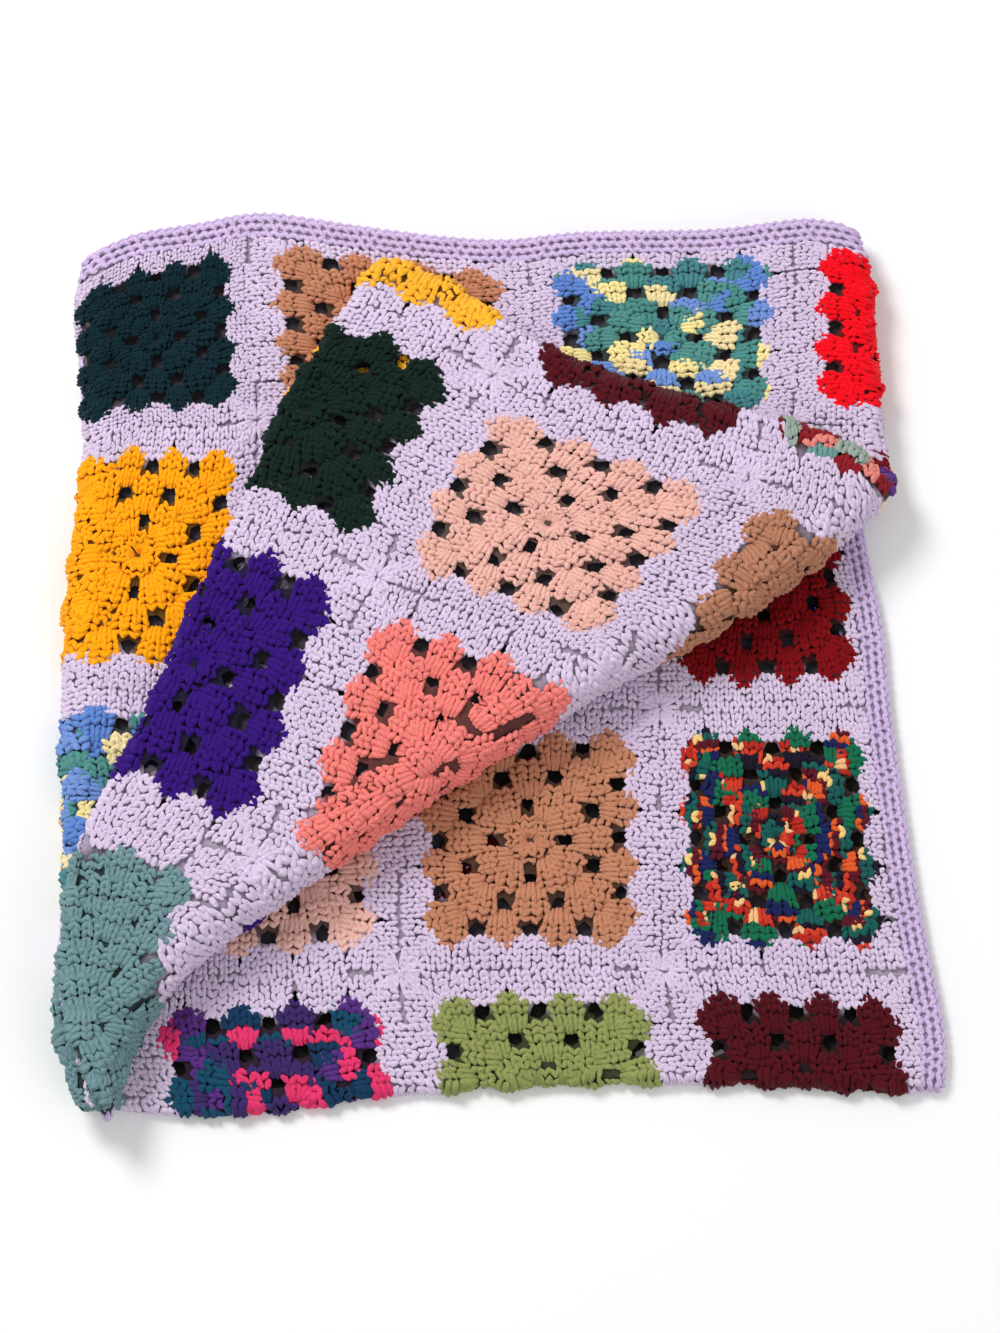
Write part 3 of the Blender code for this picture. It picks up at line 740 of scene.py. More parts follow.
def gap_loops():
    """Small rounded loops round every gap that is cut in the backing."""
    loops = []
    taken = np.zeros((0, 2))
    turns = [tau * (k + 0.5) / GAP_SIDES for k in range(GAP_SIDES)]
    ring = np.array([(cos(turn), sin(turn)) for turn in turns]) * GAP_GROW
    local = gap_places()
    for square in SQUARES:
        if square[:3] in TIP_SQUARES:
            continue
        spots = in_square(square, local[:, :2])
        good = clear_of_bends(spots, GAP_MARGIN) & owner(square[0], spots)
        for spot, half in zip(spots[good], local[good, 2]):
            if nearest(taken, spot) >= GAP_HALF + half + GAP_APART:
                taken = np.concatenate([taken, spot[None]])
                stray = 1.0 + GAP_UNEVEN * dice.standard_normal((GAP_SIDES, 1))
                loops.append(spot + ring * half * stray)
    return loops


def fixed_lines(loops):
    """Points and lines that the flat backing must keep: borders, bends and gaps."""
    points, lines = [], []

    def chain(spots, closed=False):
        """Add a row of points and the lines between them."""
        first = len(points)
        points.extend((float(a), float(b)) for a, b in spots)
        count = len(spots)
        for k in range(count if closed else count - 1):
            lines.append((first + k, first + (k + 1) % count))

    ends = evenly(0.0, SHEET_LENGTH, GRID_STEP)
    sides = evenly(-HALF_WIDTH, HALF_WIDTH, GRID_STEP)
    chain([(a, -HALF_WIDTH) for a in ends[:-1]]
          + [(SHEET_LENGTH, b) for b in sides[:-1]]
          + [(a, HALF_WIDTH) for a in ends[:0:-1]]
          + [(0.0, b) for b in sides[:0:-1]], closed=True)
    for k in range(HAIRPIN_STEPS + 1):
        across = HAIRPIN_BEND * (2 * k / HAIRPIN_STEPS - 1)
        chain([(a, across) for a in ends])
    for first, last, steps in ((LOWER_LENGTH, LEFT_BEND, LEFT_STEPS),
                               (TOP_LENGTH, RIGHT_BEND, RIGHT_STEPS)):
        for k in range(steps + 1):
            chain([(first + (last - first) * k / steps, b) for b in sides])
    for k in range(TURN_STEPS + 1):
        loop = turn_loop(TURN_ARC * k / TURN_STEPS)
        for one, two in zip(loop, np.roll(loop, -1, axis=0)):
            if min(one[0], two[0]) > LEFT_BEND - 2.0:
                chain([one, two])
    for loop in loops:
        chain(loop, closed=True)
    taken = np.array(points)
    inset = GRID_STEP / 2
    for spot in product(evenly(inset, SHEET_LENGTH - inset, GRID_STEP),
                        evenly(-HALF_WIDTH + inset, HALF_WIDTH - inset, GRID_STEP)):
        if np.min(np.abs(taken - spot).sum(axis=1)) > inset:
            points.append(spot)
    return points, lines


def flat_backing(loops):
    """Triangles of the flat backing, without those inside its gaps."""
    points, lines = fixed_lines(loops)
    made = geometry.delaunay_2d_cdt([Vector(spot) for spot in points], lines, [], 0, 1e-3)
    points = np.array([tuple(spot) for spot in made[0]])
    faces = np.array([tuple(face) for face in made[2]])
    spots = points[faces].mean(axis=1)
    keep = ((spots[:, 0] > 0) & (spots[:, 0] < SHEET_LENGTH)
            & (np.abs(spots[:, 1]) < HALF_WIDTH))
    for loop in loops:
        sides = np.roll(loop, -1, axis=0) - loop
        near = np.nonzero(np.hypot(*(spots - loop.mean(axis=0)).T) < GAP_MARGIN)[0]
        apart = spots[near][:, None] - loop
        turn = sides[:, 0] * apart[..., 1] - sides[:, 1] * apart[..., 0]
        keep[near[np.all(turn > 0, axis=1) | np.all(turn < 0, axis=1)]] = False
    used, faces = np.unique(faces[keep], return_inverse=True)
    return points[used], faces.reshape(-1, 3)


LAVENDER_PAINTED_SHADE = 0.95  # painted shade: how much the backing is darkened under the lavender rounds, for the crevices between stitches,
SQUARE_PAINTED_SHADE = 0.22    # under the coloured ones, dark as the shadow in the holes between groups,
INNER_PAINTED_SHADE = 0.12     # and on its inner side, which shows only in shadow through the gaps
COLOURED_PART = 0.72   # how far out in a square its own colour reaches on the backing


def colour_of(spots):
    """Backing colour at sheet spots: each square's own yarn inside, lavender round it, both
    darkened as painted shade.
    """
    colour = plain_tone("lavender", len(spots)) * LAVENDER_PAINTED_SHADE
    for face, row, column, yarn in SQUARES:
        quad = NETS[face][row:row + 2, column:column + 2].reshape(4, 2)
        centre = quad.mean(axis=0)
        right = (quad[1] + quad[3] - quad[0] - quad[2]) / 4
        up = (quad[0] + quad[1] - quad[2] - quad[3]) / 4
        local = np.linalg.solve(np.stack([right, up], axis=1), (spots - centre).T).T
        inside = (np.max(np.abs(local), axis=1) < COLOURED_PART) & owner(face, spots)
        colour[inside] = linear(np.mean(YARNS[yarn][1][:, :3], axis=0)) * SQUARE_PAINTED_SHADE
    return colour


# ---------------------------------------------------------------- meshes
def add_object(name, data):
    """An object in the scene."""
    item = bpy.data.objects.new(name, data)
    bpy.context.scene.collection.objects.link(item)
    return item


def make_mesh(name, points, faces, yarn, tone):
    """An object from a part: points, faces, places along the yarn if it is one, tones."""
    mesh = bpy.data.meshes.new(name)
    mesh.from_pydata(points, [], faces)
    mesh.shade_smooth()
    if yarn is not None:
        corners = [corner for face in faces for corner in face]
        layer = mesh.uv_layers.new(name="yarn")
        layer.data.foreach_set("uv", yarn[corners].astype(np.float32).ravel())
    shade = mesh.color_attributes.new("tone", "FLOAT_COLOR", "POINT")
    four = np.concatenate([tone, np.ones((len(tone), 1))], axis=1)
    shade.data.foreach_set("color", four.astype(np.float32).ravel())
    mesh.validate()
    return add_object(name, mesh)


def copies(drawing, points, tone):
    """Placed copies of a drawing as one part: points, faces, yarn places and tones."""
    size = len(drawing.points)
    starts = range(0, len(points), size)
    faces = [tuple(corner + start for corner in face)
             for start in starts for face in drawing.faces]
    return points, faces, np.tile(drawing.yarn, (len(starts), 1)), tone


def joined(parts):
    """Several parts as one."""
    points, faces, yarn, tone = zip(*parts)
    starts = np.cumsum([0] + [len(spots) for spots in points]).tolist()
    faces = [tuple(corner + start for corner in face)
             for start, group in zip(starts, faces) for face in group]
    return np.concatenate(points), faces, np.concatenate(yarn), np.concatenate(tone)


# ---------------------------------------------------------------- materials
def feed(tree, node, inputs):
    """Give a node's inputs numbers and colours, or other nodes' outputs."""
    for socket, value in inputs.items():
        if isinstance(value, bpy.types.NodeSocket):
            tree.links.new(value, node.inputs[socket])
        else:
            node.inputs[socket].default_value = value


def make_node(tree, kind, inputs=None, **settings):
    """A new node's first output."""
    node = tree.nodes.new(kind)
    for name, value in settings.items():
        setattr(node, name, value)
    feed(tree, node, inputs or {})
    return node.outputs[0]


def maths(tree, operation, *values):
    """The result of a sum, product or sine."""
    return make_node(tree, "ShaderNodeMath", dict(enumerate(values)), operation=operation)


def weighted(tree, *terms, plus=0.0):
    """A sum of values, each times its weight, and of a plain number."""
    total = maths(tree, "MULTIPLY", *terms[0])
    for term in terms[1:]:
        total = maths(tree, "ADD", total, maths(tree, "MULTIPLY", *term))
    return maths(tree, "ADD", total, plus) if plus else total


def noise(tree, space, scale, detail):
    """Noise over the object's own coordinates."""
    return make_node(tree, "ShaderNodeTexNoise",
                     {"Vector": space.outputs["Object"], "Scale": scale, "Detail": detail})


def new_material(name, inputs):
    """A material, its node tree and its shader."""
    material = bpy.data.materials.new(name)
    material.use_nodes = True
    shader = material.node_tree.nodes["Principled BSDF"]
    feed(material.node_tree, shader, inputs)
    return material, material.node_tree, shader


PLY_TURN = 4.2         # millimetres of yarn in which a ply goes once round it


def yarn_material(name, colour, mixed):
    """Spun acrylic yarn: two plies twisted together, fine fibres and a soft sheen."""
    material, tree, shader = new_material(name, {
        "Roughness": 0.86, "Sheen Weight": 0.08, "Sheen Roughness": 0.45,
        "Specular IOR Level": 0.15})
    split = tree.nodes.new("ShaderNodeSeparateXYZ")
    feed(tree, split, {0: make_node(tree, "ShaderNodeUVMap", uv_map="yarn")})
    spiral = weighted(tree, (split.outputs[0], tau / PLY_TURN), (split.outputs[1], 2 * tau))
    ply = weighted(tree, (maths(tree, "SINE", spiral), 0.5), plus=0.5)
    space = tree.nodes.new("ShaderNodeTexCoord")
    fibre = noise(tree, space, 1500.0, 3.0)
    fading = noise(tree, space, 70.0, 2.0)
    bump = make_node(tree, "ShaderNodeBump", {
        "Height": weighted(tree, (ply, 0.4), (fibre, 0.5)), "Strength": 0.75,
        "Distance": 0.0009})
    # painted shade: darker in the valleys between the two plies; the fibre and fading noise are
    # the yarn's own uneven tone
    shade = weighted(tree, (ply, 0.14), (fibre, 0.22), (fading, 0.22), plus=0.70)
    colour = tuple(linear(colour))
    if mixed:
        colour = make_node(tree, "ShaderNodeAttribute", attribute_name="tone")
    scaled = make_node(tree, "ShaderNodeVectorMath", {0: colour, "Scale": shade},
                       operation="SCALE")
    feed(tree, shader, {"Normal": bump, "Base Color": scaled})
    return material


def backing_material():
    """The stitches behind the yarn: each square's colour in painted shade, with a fine rib whose
    hollows are painted darker.
    """
    material, tree, shader = new_material("backing", {"Roughness": 0.95})
    rib = noise(tree, tree.nodes.new("ShaderNodeTexCoord"), 380.0, 3.0)
    scaled = make_node(tree, "ShaderNodeVectorMath", {
        0: make_node(tree, "ShaderNodeAttribute", attribute_name="tone"),
        "Scale": weighted(tree, (rib, 0.6), plus=0.25)}, operation="SCALE")
    bump = make_node(tree, "ShaderNodeBump", {"Height": rib, "Strength": 0.8,
                                              "Distance": 0.001})
    feed(tree, shader, {"Normal": bump, "Base Color": scaled})
    return material


# ---------------------------------------------------------------- the pieces
LOOPS = gap_loops()


def thick_backing():
    """The closed backing: both surfaces, and walls round the border and every gap."""
    flat_points, flat_faces = flat_backing(LOOPS)
    half = np.full(len(flat_points), BACKING / 2)
    upper = laid(flat_points, half)
    lower = laid(flat_points, -half)
    count = len(flat_points)
    edges = np.concatenate([flat_faces[:, pair] for pair in ((0, 1), (1, 2), (2, 0))])
    known = set(map(tuple, edges.tolist()))
    faces = [tuple(face) for face in flat_faces.tolist()]
    faces += [tuple(corner + count for corner in face[::-1]) for face in flat_faces.tolist()]
    for one, two in known:
        if (two, one) not in known:
            faces.append((two, one, one + count, two + count))
    tone = colour_of(flat_points)
    # the upper surface takes colour_of's painted shade, and the inner surface a much deeper
    # painted shade
    return make_mesh("blanket_cloth", np.concatenate([upper, lower]), faces, None,
                     np.concatenate([tone, tone * INNER_PAINTED_SHADE]))


cloth = thick_backing()
cloth.data.materials.append(backing_material())
CLOTH_TREE = BVHTree.FromPolygons([vertex.co for vertex in cloth.data.vertices],
                                  [polygon.vertices[:] for polygon in cloth.data.polygons])
MATERIALS = {name: yarn_material(name + "_yarn_look", rows[0, :3], len(rows) > 1)
             for name, (_, rows) in YARNS.items()}

SKY_START = 0.0035     # rays start this far over the middle surface, in metres
SKY_REACH = 0.7        # and end here
SKY_SLOPE = 0.05       # and leave the cloth at least this steeply


def rays(heights):
    """Eight directions round the compass at every height over the horizon, in degrees."""
    return [Vector((sin(a) * cos(e), -cos(a) * cos(e), sin(e)))
            for e in map(radians, heights) for a in map(radians, range(0, 360, 45))]


RAYS = {2: rays((78, 55)), 1: rays((25, 3, -45)) + [Vector((0.0, 0.0, -1.0))]}


def rank_of(point, normal):
    """How a point is seen: 2 from above, 1 only from the sides or below, 0 not at all."""
    start = point + normal * SKY_START
    for rank, directions in RAYS.items():
        for ray in directions:
            if (ray.dot(normal) > SKY_SLOPE
                    and CLOTH_TREE.ray_cast(start, ray, SKY_REACH)[0] is None):
                return rank
    return 0


def open_sky(points, normals):
    """How each point of the middle surface is seen."""
    return np.array([rank_of(Vector(point), Vector(normal))
                     for point, normal in zip(points, normals)], int)


def tones_for(yarn, groups, stitches):
    """One colour for each stitch of each group, in runs as the dyed yarn comes off."""
    rows = YARNS[yarn][1]
    count = groups * stitches
    if len(rows) == 1:
        return plain_tone(yarn, count).reshape(groups, stitches, 3)
    made = []
    turn = int(dice.integers(len(rows)))
    while len(made) < count:
        *colour, run = rows[turn % len(rows)]
        stitches_long = int(max(1, run + round(uneven(RUN_UNEVEN * run))))
        made += [linear(np.array(colour))] * stitches_long
        turn += 1
    return np.array(made[:count]).reshape(groups, stitches, 3)


GROW_UNEVEN, HEIGHT_UNEVEN, PLACE_UNEVEN = 0.03, 0.06, 0.006    # of every stitch group
TURN_UNEVEN = 2.5      # in degrees
RUN_UNEVEN = 0.3       # of the lengths of a dyed yarn's colours


def group_local(group, points, grow=1.0, turn=0.0):
    """A drawing's points in a square's own coordinates, for one group."""
    angle = group.angle + turn
    x = points[:, 0] * grow + group.foot * np.clip(-points[:, 1] / GROUP_LENGTH, 0.0, 1.1)
    y = points[:, 1]
    return group.head + np.stack([x * cos(angle) - y * sin(angle),
                                  x * sin(angle) + y * cos(angle)], axis=1) / HALF_SQUARE


def group_points(points, groups):
    """Places in the square and heights of every uneven copy of a drawing's points."""
    spots = np.empty((len(groups), len(points), 2))
    heights = np.empty((len(groups), len(points)))
    for k, group in enumerate(groups):
        spots[k] = group_local(group, points, 1.0 + uneven(GROW_UNEVEN),
                               radians(uneven(TURN_UNEVEN)))
        spots[k] += PLACE_UNEVEN * dice.standard_normal(2)
        heights[k] = points[:, 2] * (1.0 + uneven(HEIGHT_UNEVEN))
    return spots, heights


def centred(spots):
    """The middle surface in metres at sheet spots, and its normals."""
    middle, normal = place_with_normal(spots[..., 0], spots[..., 1])
    return (middle + (-SHIFT_X, SHIFT_Y, 0.0)) * MM, normal


def grid(one, two):
    """Every pair of two rows of numbers."""
    return np.stack(np.meshgrid(one, two), axis=-1).reshape(-1, 2)


def sampled(square, reach, count):
    """A grid over a square: in its own coordinates, on the sheet, in space, and normals."""
    steps = np.linspace(-reach, reach, count)
    local = grid(steps, steps)
    spots = in_square(square, local)
    return local, spots, *centred(spots)


MOST_STRETCH = 1.25    # where the fold stretches the groups more, they are set anew
BEND_SPACING = 16.5    # and are this far apart
BEND_REACH = 0.68      # within this part of a square
BEND_STEPS = 36
SHEET_SHARE = 0.95     # the sheet may stretch this much of what the groups may
WRAP_HEIGHT = 0.9      # how much of its height a wrapped drawing keeps
TIP_END = -0.250       # no group starts nearer the end of the pinched corner, in metres


def group_stretch(points):
    """How much the fold stretches each group, from where its probes lie."""
    tall = np.linalg.norm(points[:, 0] - points[:, 2], axis=1) / (PROBES[0, 1] - PROBES[2, 1])
    wide = np.linalg.norm(points[:, 3] - points[:, 4], axis=1) / (PROBES[4, 0] - PROBES[3, 0])
    return np.maximum(tall, wide) / MM


def sheet_stretch(spots, step=4.0):
    """How much the fold stretches the sheet round each spot."""
    along, across = spots[:, 0], spots[:, 1]
    one = place(along + step, across) - place(along - step, across)
    two = place(along, across + step) - place(along, across - step)
    return np.maximum(np.linalg.norm(one, axis=1), np.linalg.norm(two, axis=1)) / (2 * step)


def wrapped(points, centre, up, normal):
    """A drawing's points laid on the folded cloth round one place, without stretching."""
    side = np.cross(up, normal)
    side /= np.linalg.norm(side)
    up = np.cross(normal, side)
    flat = centre + (points[:, 0:1] * side + (points[:, 1:2] - GROUP_MIDDLE) * up) * MM
    placed = np.empty_like(flat)
    for k, spot in enumerate(flat):
        near, out, _, _ = CLOTH_TREE.find_nearest(Vector(spot))
        out = np.array(out)
        if np.dot(out, normal) < -0.5:
            out = -out
        placed[k] = np.array(near) + out * points[k, 2] * MM * WRAP_HEIGHT
    placed[:, 2] = above_floor(placed[:, 2] / MM) * MM
    return placed


def wrapped_parts(kind, yarn, points, normals, ups):
    """Copies of a drawing wrapped on the cloth wherever they can be seen."""
    parts = []
    for point, normal, up, rank in zip(points, normals, ups, open_sky(points, normals)):
        if not rank:
            continue
        up = up - normal * np.dot(up, normal)
        if np.linalg.norm(up) < 1e-4:
            up = np.cross(normal, (0.3, 0.2, 1.0))
        drawing = DRAWINGS[rank][kind][len(parts) % VARIANTS]
        placed = wrapped(drawing.points, point, up / np.linalg.norm(up), normal)
        tones = tones_for(yarn, 1, drawing.stitch.max() + 1)
        parts.append(copies(drawing, placed, tones[0][drawing.stitch]))
    return parts


def outward_parts(kind, yarn, square, points, normals):
    """Copies of a drawing that point away from the middle of their square."""
    middle, _ = centred(in_square(square, np.zeros((1, 2))))
    return wrapped_parts(kind, yarn, points, normals, points - middle)


def spaced_out(order, points, taken, spacing):
    """Greedy choice of points that keep their distance, and the points then taken."""
    picked = []
    for k in order:
        if len(taken) and np.min(np.sum((taken - points[k]) ** 2, axis=1)) < spacing ** 2:
            continue
        taken = np.concatenate([taken, points[k][None]])
        picked.append(k)
    return np.array(picked, int), taken


def make_bend(square, taken):
    """Groups at even distances where the fold stretches a square, and the points taken."""
    local, spots, points, normals = sampled(square, BEND_REACH, BEND_STEPS)
    tip = square[:3] in TIP_SQUARES
    inside = owner(square[0], spots) & (tip | (sheet_stretch(spots) > SHEET_SHARE * MOST_STRETCH))
    inside[inside] = open_sky(points[inside], normals[inside]) > 0
    reach = -np.max(np.abs(local), axis=1) + 0.05 * dice.random(len(points))
    if tip:
        inside &= points[:, 1] > TIP_END
        reach = np.hypot(*local.T) + 0.1 * dice.random(len(points))
    order = np.argsort(reach)
    picked, taken = spaced_out(order[inside[order]], points, taken, BEND_SPACING * MM)
    return outward_parts("group", square[3], square, points[picked], normals[picked]), taken


MITRE = 0.045          # how far a corner group reaches over the square's diagonal
BORDER_BAND = 13.0     # how wide the border rows are
EDGE_CLEAR = 3.0       # no group's head lies nearer than this to the sheet's long edges


def kept_clear(part, rank, local, spots, groups):
    """A joining part without the strands under the border rows or over a mitre."""
    strands = 2 * BLOCK_COLUMNS * BLOCK_ROWS[rank]
    on_sheet, in_own = (places.reshape(len(groups), strands, -1, 2).mean(axis=2)
                        for places in (spots, local))
    inset = np.minimum(np.minimum(on_sheet[..., 0], SHEET_LENGTH - on_sheet[..., 0]),
                       HALF_WIDTH - np.abs(on_sheet[..., 1]))
    outward = np.array([(-sin(group.angle), cos(group.angle)) for group in groups])
    ahead = np.sum(in_own * outward[:, None], axis=2)
    sideways = np.abs(np.sum(in_own * outward[:, None, ::-1] * (1, -1), axis=2))
    keep = (inset > BORDER_BAND) & (sideways < ahead + MITRE)
    keep = np.repeat(keep, local.shape[1] // strands, axis=1).ravel()
    if keep.all():
        return part
    points, faces, yarn_place, tone = part
    faces = np.array(faces)
    used, faces = np.unique(faces[keep[faces[:, 0]]], return_inverse=True)
    return points[used], faces.reshape(-1, 4).tolist(), yarn_place[used], tone[used]


def seen_groups(square):
    """How each group of a square is seen, whether any bends too much, and where they lie.

    Groups that bend too much count as not seen, and only the places of the seen coloured
    ones are given.
    """
    spots = in_square(square, np.array([group_local(group, PROBES) for group in GROUPS]))
    points, normals = centred(spots)
    seen = open_sky(points.reshape(-1, 3), normals.reshape(-1, 3))
    seen = seen.reshape(len(GROUPS), len(PROBES)).max(axis=1)
    seen[~owner(square[0], spots[:, 0])] = 0
    seen[np.abs(spots[:, 0, 1]) > HALF_WIDTH - EDGE_CLEAR] = 0
    coloured = np.array([group.kind != "joining" for group in GROUPS])
    bent = coloured & (group_stretch(points) > MOST_STRETCH) & (seen > 0)
    seen[bent] = 0
    return seen, bent.any(), points[coloured & (seen > 0), 1]


def group_copies(square, groups, rank, variant):
    """Copies of one drawing, laid on the folded cloth for groups of one kind."""
    kind = groups[0].kind
    drawing = DRAWINGS[rank][kind][variant]
    local, heights = group_points(drawing.points, groups)
    spots = in_square(square, local)
    points = laid(spots.reshape(-1, 2), heights.reshape(-1))
    yarn = "lavender" if kind == "joining" else square[3]
    tones = tones_for(yarn, len(groups), drawing.stitch.max() + 1)
    part = copies(drawing, points, tones[:, drawing.stitch].reshape(-1, 3))
    part[2][:, 1] += np.repeat(dice.random(len(groups)), len(drawing.points))
    return kept_clear(part, rank, local, spots, groups) if kind == "joining" else part


def make_square(square, taken):
    """A square's coloured rounds and its joining round, and the points taken."""
    seen, bends, middles = seen_groups(square)
    taken = np.concatenate([taken, middles])
    shift = square[1] + 2 * square[2]
    made = {"square": [], "joining": []}
    for kind, rank, variant in product(("centre", "group", "joining"), DRAWINGS,
                                       range(VARIANTS)):
        groups = [group for k, group in enumerate(GROUPS)
                  if group.kind == kind and seen[k] == rank
                  and (7 * k + shift) % VARIANTS == variant]
        if groups:
            part = group_copies(square, groups, rank, variant)
            if len(part[0]):
                made["joining" if kind == "joining" else "square"].append(part)
    if bends:
        parts, taken = make_bend(square, taken)
        made["square"] += parts
    return made, taken


BORDER_STEP = 5.6      # from stitch to stitch
BORDER_ROW = 4.4       # from row to row
BORDER_ROWS = 3
BORDER_INSET = 2.2     # from the sheet's edge to the outer row
BORDER_UNEVEN = 0.08
LOOK_OUT = 3.0         # how far outward the rim's own direction is measured
BORDER_EDGES = (  # start and end on the sheet, and which way is outward
    ((0.0, HALF_WIDTH), (SHEET_LENGTH, HALF_WIDTH), (0.0, 1.0)),
    ((0.0, -HALF_WIDTH), (SHEET_LENGTH, -HALF_WIDTH), (0.0, -1.0)),
    ((0.0, -HALF_WIDTH), (0.0, HALF_WIDTH), (-1.0, 0.0)),
    ((SHEET_LENGTH, -HALF_WIDTH), (SHEET_LENGTH, HALF_WIDTH), (1.0, 0.0)))


def edge_copies(kind, spots, ahead, outward, facing):
    """Copies of a border drawing at sheet spots, where they can be seen."""
    parts = []
    points, normals = centred(spots)
    if facing:
        beyond, _ = centred(spots + LOOK_OUT * outward)
        normals = beyond - points
        normals /= np.linalg.norm(normals, axis=1, keepdims=True)
    seen = open_sky(points, normals)
    number = np.arange(len(spots))
    variants = (3 * number + number // 7) % VARIANTS
    for rank, variant in product(DRAWINGS, range(VARIANTS)):
        picked = spots[(seen == rank) & (variants == variant)]
        if not len(picked):
            continue
        drawing = DRAWINGS[rank][kind][variant]
        drawn = drawing.points
        flat = picked[:, None] + drawn[None, :, :1] * ahead + drawn[None, :, 1:2] * outward
        heights = drawn[:, 2] * (1.0 + BORDER_UNEVEN * dice.standard_normal((len(picked), 1)))
        placed = laid(flat.reshape(-1, 2), heights.reshape(-1))
        parts.append(copies(drawing, placed, plain_tone("lilac", len(placed))))
    return parts


def make_border():
    """Rows of stitches along every edge of the sheet, and the rim, where they show."""
    parts = []
    for edge in BORDER_EDGES:
        start, end, outward = map(np.array, edge)
        length = np.linalg.norm(end - start)
        ahead = (end - start) / length
        count = int(length / BORDER_STEP)
        for row in range(BORDER_ROWS):
            steps = (np.arange(count) + 0.5 * (row % 2) + 0.25) * length / count
            inset = BORDER_INSET + BORDER_ROW * row
            spots = start + steps[:, None] * ahead - outward * inset
            parts += edge_copies("border", spots, ahead, outward, False)
        steps = (np.arange(count) + 0.5) * length / count
        parts += edge_copies("rim", start + steps[:, None] * ahead, ahead, outward, True)
    return parts


STAR_INSET = 12.0      # stars stay this far in from the sheet's edges
STAR_SPACING = 20.0


def make_bursts():
    """A star of stitches at every seam crossing that can be seen."""
    parts = []
    taken = np.zeros((0, 2))
    for face, net in NETS.items():
        spots = net.reshape(-1, 2)
        fits = (owner(face, spots) & (np.abs(spots[:, 1]) < HALF_WIDTH - STAR_INSET)
                & (spots[:, 0] > STAR_INSET))
        seen = open_sky(*centred(spots)) * fits
        for spot, rank in zip(spots, seen):
            if rank and nearest(taken, spot) >= STAR_SPACING:
                taken = np.concatenate([taken, spot[None]])
                drawing = DRAWINGS[rank]["burst"][len(taken) % VARIANTS]
                placed = laid(spot + drawing.points[:, :2], drawing.points[:, 2])
                parts.append(copies(drawing, placed, plain_tone("lavender", len(placed))))
    return parts


BARE_REACH = 2.6       # a place this far from every strand is bare, in millimetres
BARE_HEIGHT = 1.8      # how high over the middle surface that is measured
PATCH_SPACING = 7.0
PATCH_LIMIT = 1.2      # patches reach this far out of a square whose neighbour is missing
PATCH_STEPS = 47
GAP_CLEAR = 2.0        # patches stay this far out of the gaps
COLOURED_REACH = 0.80  # and have the square's colour this far out
FOLD_STRIP = ((486.0, 880.0, 3.5), (-66.0, 8.0, 0.9))    # ranges along and across the sheet
STRIP_UP = (0.6, 0.8, 0.0)
STRIP_SPACING = 5.5


def search_tree(filled):
    """A tree in which the nearest of the filled points is found."""
    places = KDTree(len(filled))
    for k, spot in enumerate(filled.tolist()):
        places.insert(spot, k)
    places.balance()
    return places


def is_bare(places, points, normals):
    """Which points of the middle surface have no strand near over them."""
    tops = points + normals * BARE_HEIGHT * MM
    return np.array([places.find(top)[2] > BARE_REACH * MM for top in tops.tolist()])


def fold_strip(places):
    """Loops on the layer that shows under the left edge of the turned-back corner."""
    spots = grid(*(np.arange(*stops) for stops in FOLD_STRIP))
    points, normals = centred(spots)
    good = is_bare(places, points, normals)
    good[good] = open_sky(points[good], normals[good]) > 0
    return points, normals, good


def make_patches(filled):
    """Loops over bare places: {square: (coloured, lavender)}, and those of the strip."""
    made = {}
    gaps = np.array([loop.mean(axis=0) for loop in LOOPS])
    places = search_tree(filled)
    taken = np.zeros((0, 3))
    for square in SQUARES:
        local, spots, points, normals = sampled(square, PATCH_LIMIT, PATCH_STEPS)
        good = (is_bare(places, points, normals) & owner(square[0], spots)
                & (np.abs(spots[:, 1]) < HALF_WIDTH - BORDER_BAND))
        good[good] = [nearest(gaps, spot) > GAP_HALF + GAP_CLEAR for spot in spots[good]]
        good[good] = open_sky(points[good], normals[good]) > 0
        picked, taken = spaced_out(np.nonzero(good)[0], points, taken, PATCH_SPACING * MM)
        coloured = np.max(np.abs(local[picked]), axis=1, initial=0.0) < COLOURED_REACH
        made[square] = [
            outward_parts("patch", yarn, square, points[chosen], normals[chosen])
            for yarn, chosen in ((square[3], picked[coloured]),
                                 ("lavender", picked[~coloured]))]
    points, normals, good = fold_strip(places)
    picked, _ = spaced_out(np.nonzero(good)[0], points, taken, STRIP_SPACING * MM)
    ups = np.tile(STRIP_UP, (len(picked), 1))
    return made, wrapped_parts("patch", "lavender", points[picked], normals[picked], ups)


def add_yarn(name, look, parts):
    """A piece of yarn, which rides with the cloth."""
    item = make_mesh(name, *joined(parts))
    item.data.materials.append(MATERIALS[look])
    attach(item, "root")


taken = np.zeros((0, 3))
made = {}
for square in SQUARES:
    made[square], taken = make_square(square, taken)
border_parts = make_border()
star_parts = make_bursts()
filled = [part[0] for parts in made.values() for part in parts["square"] + parts["joining"]]
filled += [part[0] for part in border_parts + star_parts]
patches, strip_parts = make_patches(np.concatenate(filled))

for square in SQUARES:
    face, row, column, yarn = square
    coloured, lavender = patches[square]
    for target, look, extra in (("square", yarn, coloured), ("joining", "lavender", lavender)):
        parts = made[square][target] + extra
        if parts:
            add_yarn(f"{target}_{face}_{row}_{column}_{look}", look, parts)
add_yarn("border_rows", "lilac", border_parts)
add_yarn("seam_stars", "lavender", star_parts + strip_parts)

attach(cloth, "root")
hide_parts("blanket")

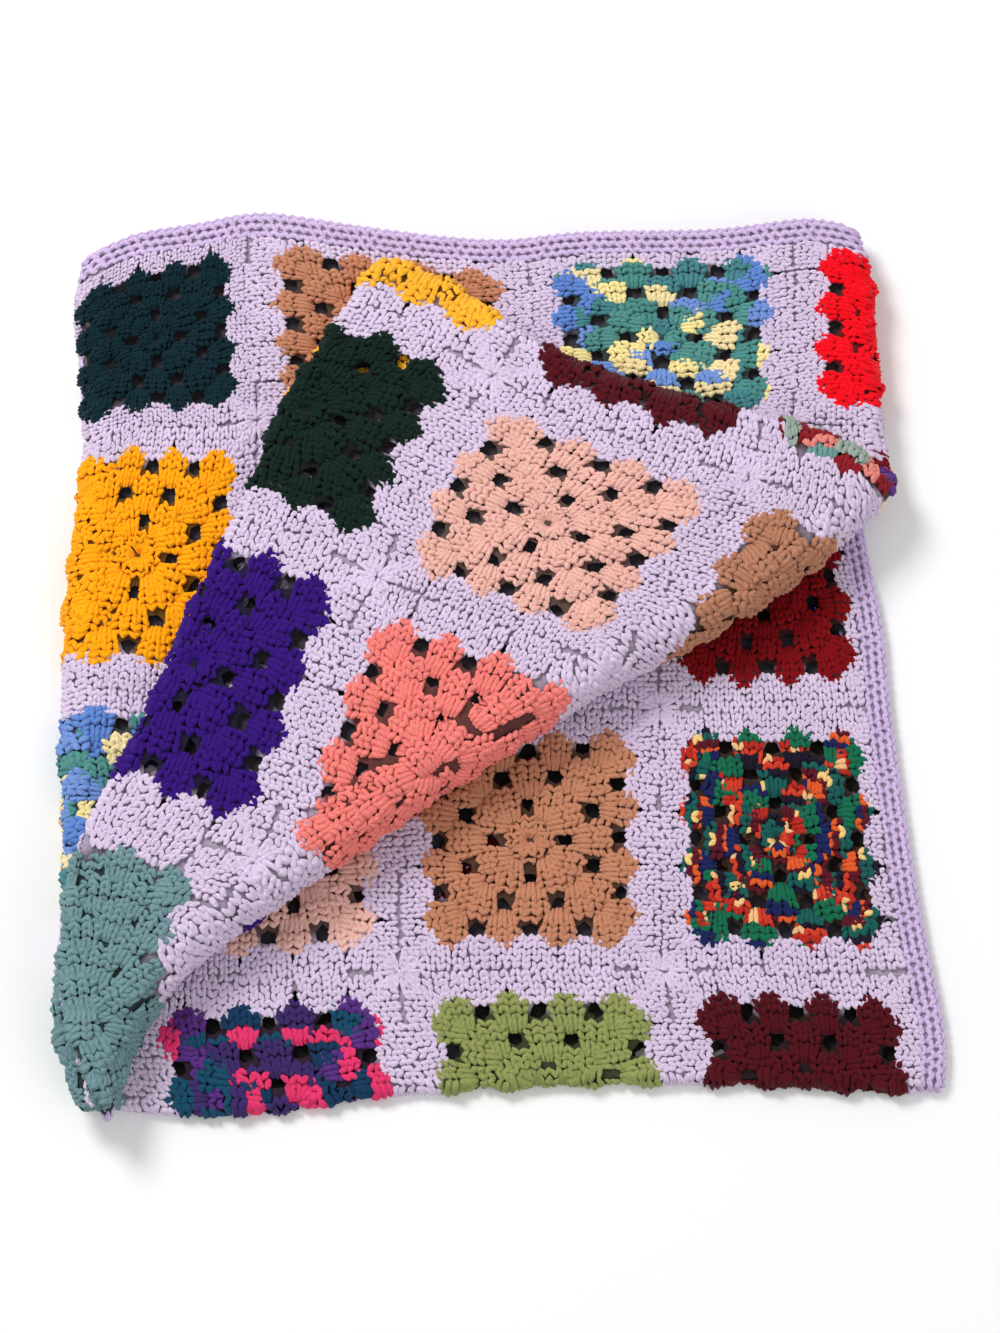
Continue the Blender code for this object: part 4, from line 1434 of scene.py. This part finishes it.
# ---------------------------------------------------------------- floor, light, camera
CAMERA_HEIGHT = radians(78)            # over the horizon
DISTANCE = 2.5
AIM = Vector((0.0, -0.0025, 0.015))
SENSOR = 36.0
FRAME_WIDTH = 0.570                    # what the picture shows across, in metres
FRAME_SHAPE = 1333 / 1000              # the picture's height against its width
FLOOR_HALF = 6.0
LIGHTS = (  # name, place, size, power
    ("key", (-1.1, 1.2, 2.0), 0.9, 42.0),
    ("fill", (1.6, -1.4, 1.8), 2.0, 12.0))


def make_floor():
    """A plain white floor."""
    mesh = bpy.data.meshes.new("floor")
    corners = ((-1, -1), (1, -1), (1, 1), (-1, 1))
    mesh.from_pydata([(x * FLOOR_HALF, y * FLOOR_HALF, 0) for x, y in corners], [],
                     [(0, 1, 2, 3)])
    material, _, _ = new_material("floor", {"Base Color": (0.90, 0.90, 0.90, 1.0),
                                            "Roughness": 0.9})
    mesh.materials.append(material)
    add_object("floor", mesh)


def make_light(name, spot, size, power):
    """A round soft light that looks at the origin."""
    lamp = bpy.data.lights.new(name, "AREA")
    lamp.shape = "DISK"
    lamp.size = size
    lamp.energy = power
    item = add_object(name, lamp)
    item.location = spot
    item.rotation_euler = (-Vector(spot)).to_track_quat("-Z", "Y").to_euler()


def make_world():
    """Even white light from all round."""
    world = bpy.data.worlds.new("studio")
    bpy.context.scene.world = world
    world.use_nodes = True
    feed(world.node_tree, world.node_tree.nodes["Background"],
         {"Color": (1.0, 1.0, 1.0, 1.0), "Strength": 0.62})
    bpy.context.scene.view_settings.view_transform = "Standard"


def make_camera():
    """The camera, nearly straight above and a little to the near side."""
    data = bpy.data.cameras.new("camera")
    data.sensor_fit = "AUTO"
    data.sensor_width = SENSOR
    data.lens = SENSOR * DISTANCE / (FRAME_WIDTH * FRAME_SHAPE)
    camera = add_object("camera", data)
    back = Vector((0.0, -cos(CAMERA_HEIGHT), sin(CAMERA_HEIGHT)))
    camera.location = AIM + back * DISTANCE
    camera.rotation_euler = (-back).to_track_quat("-Z", "Y").to_euler()
    bpy.context.scene.camera = camera


make_floor()
for light in LIGHTS:
    make_light(*light)
make_world()
make_camera()
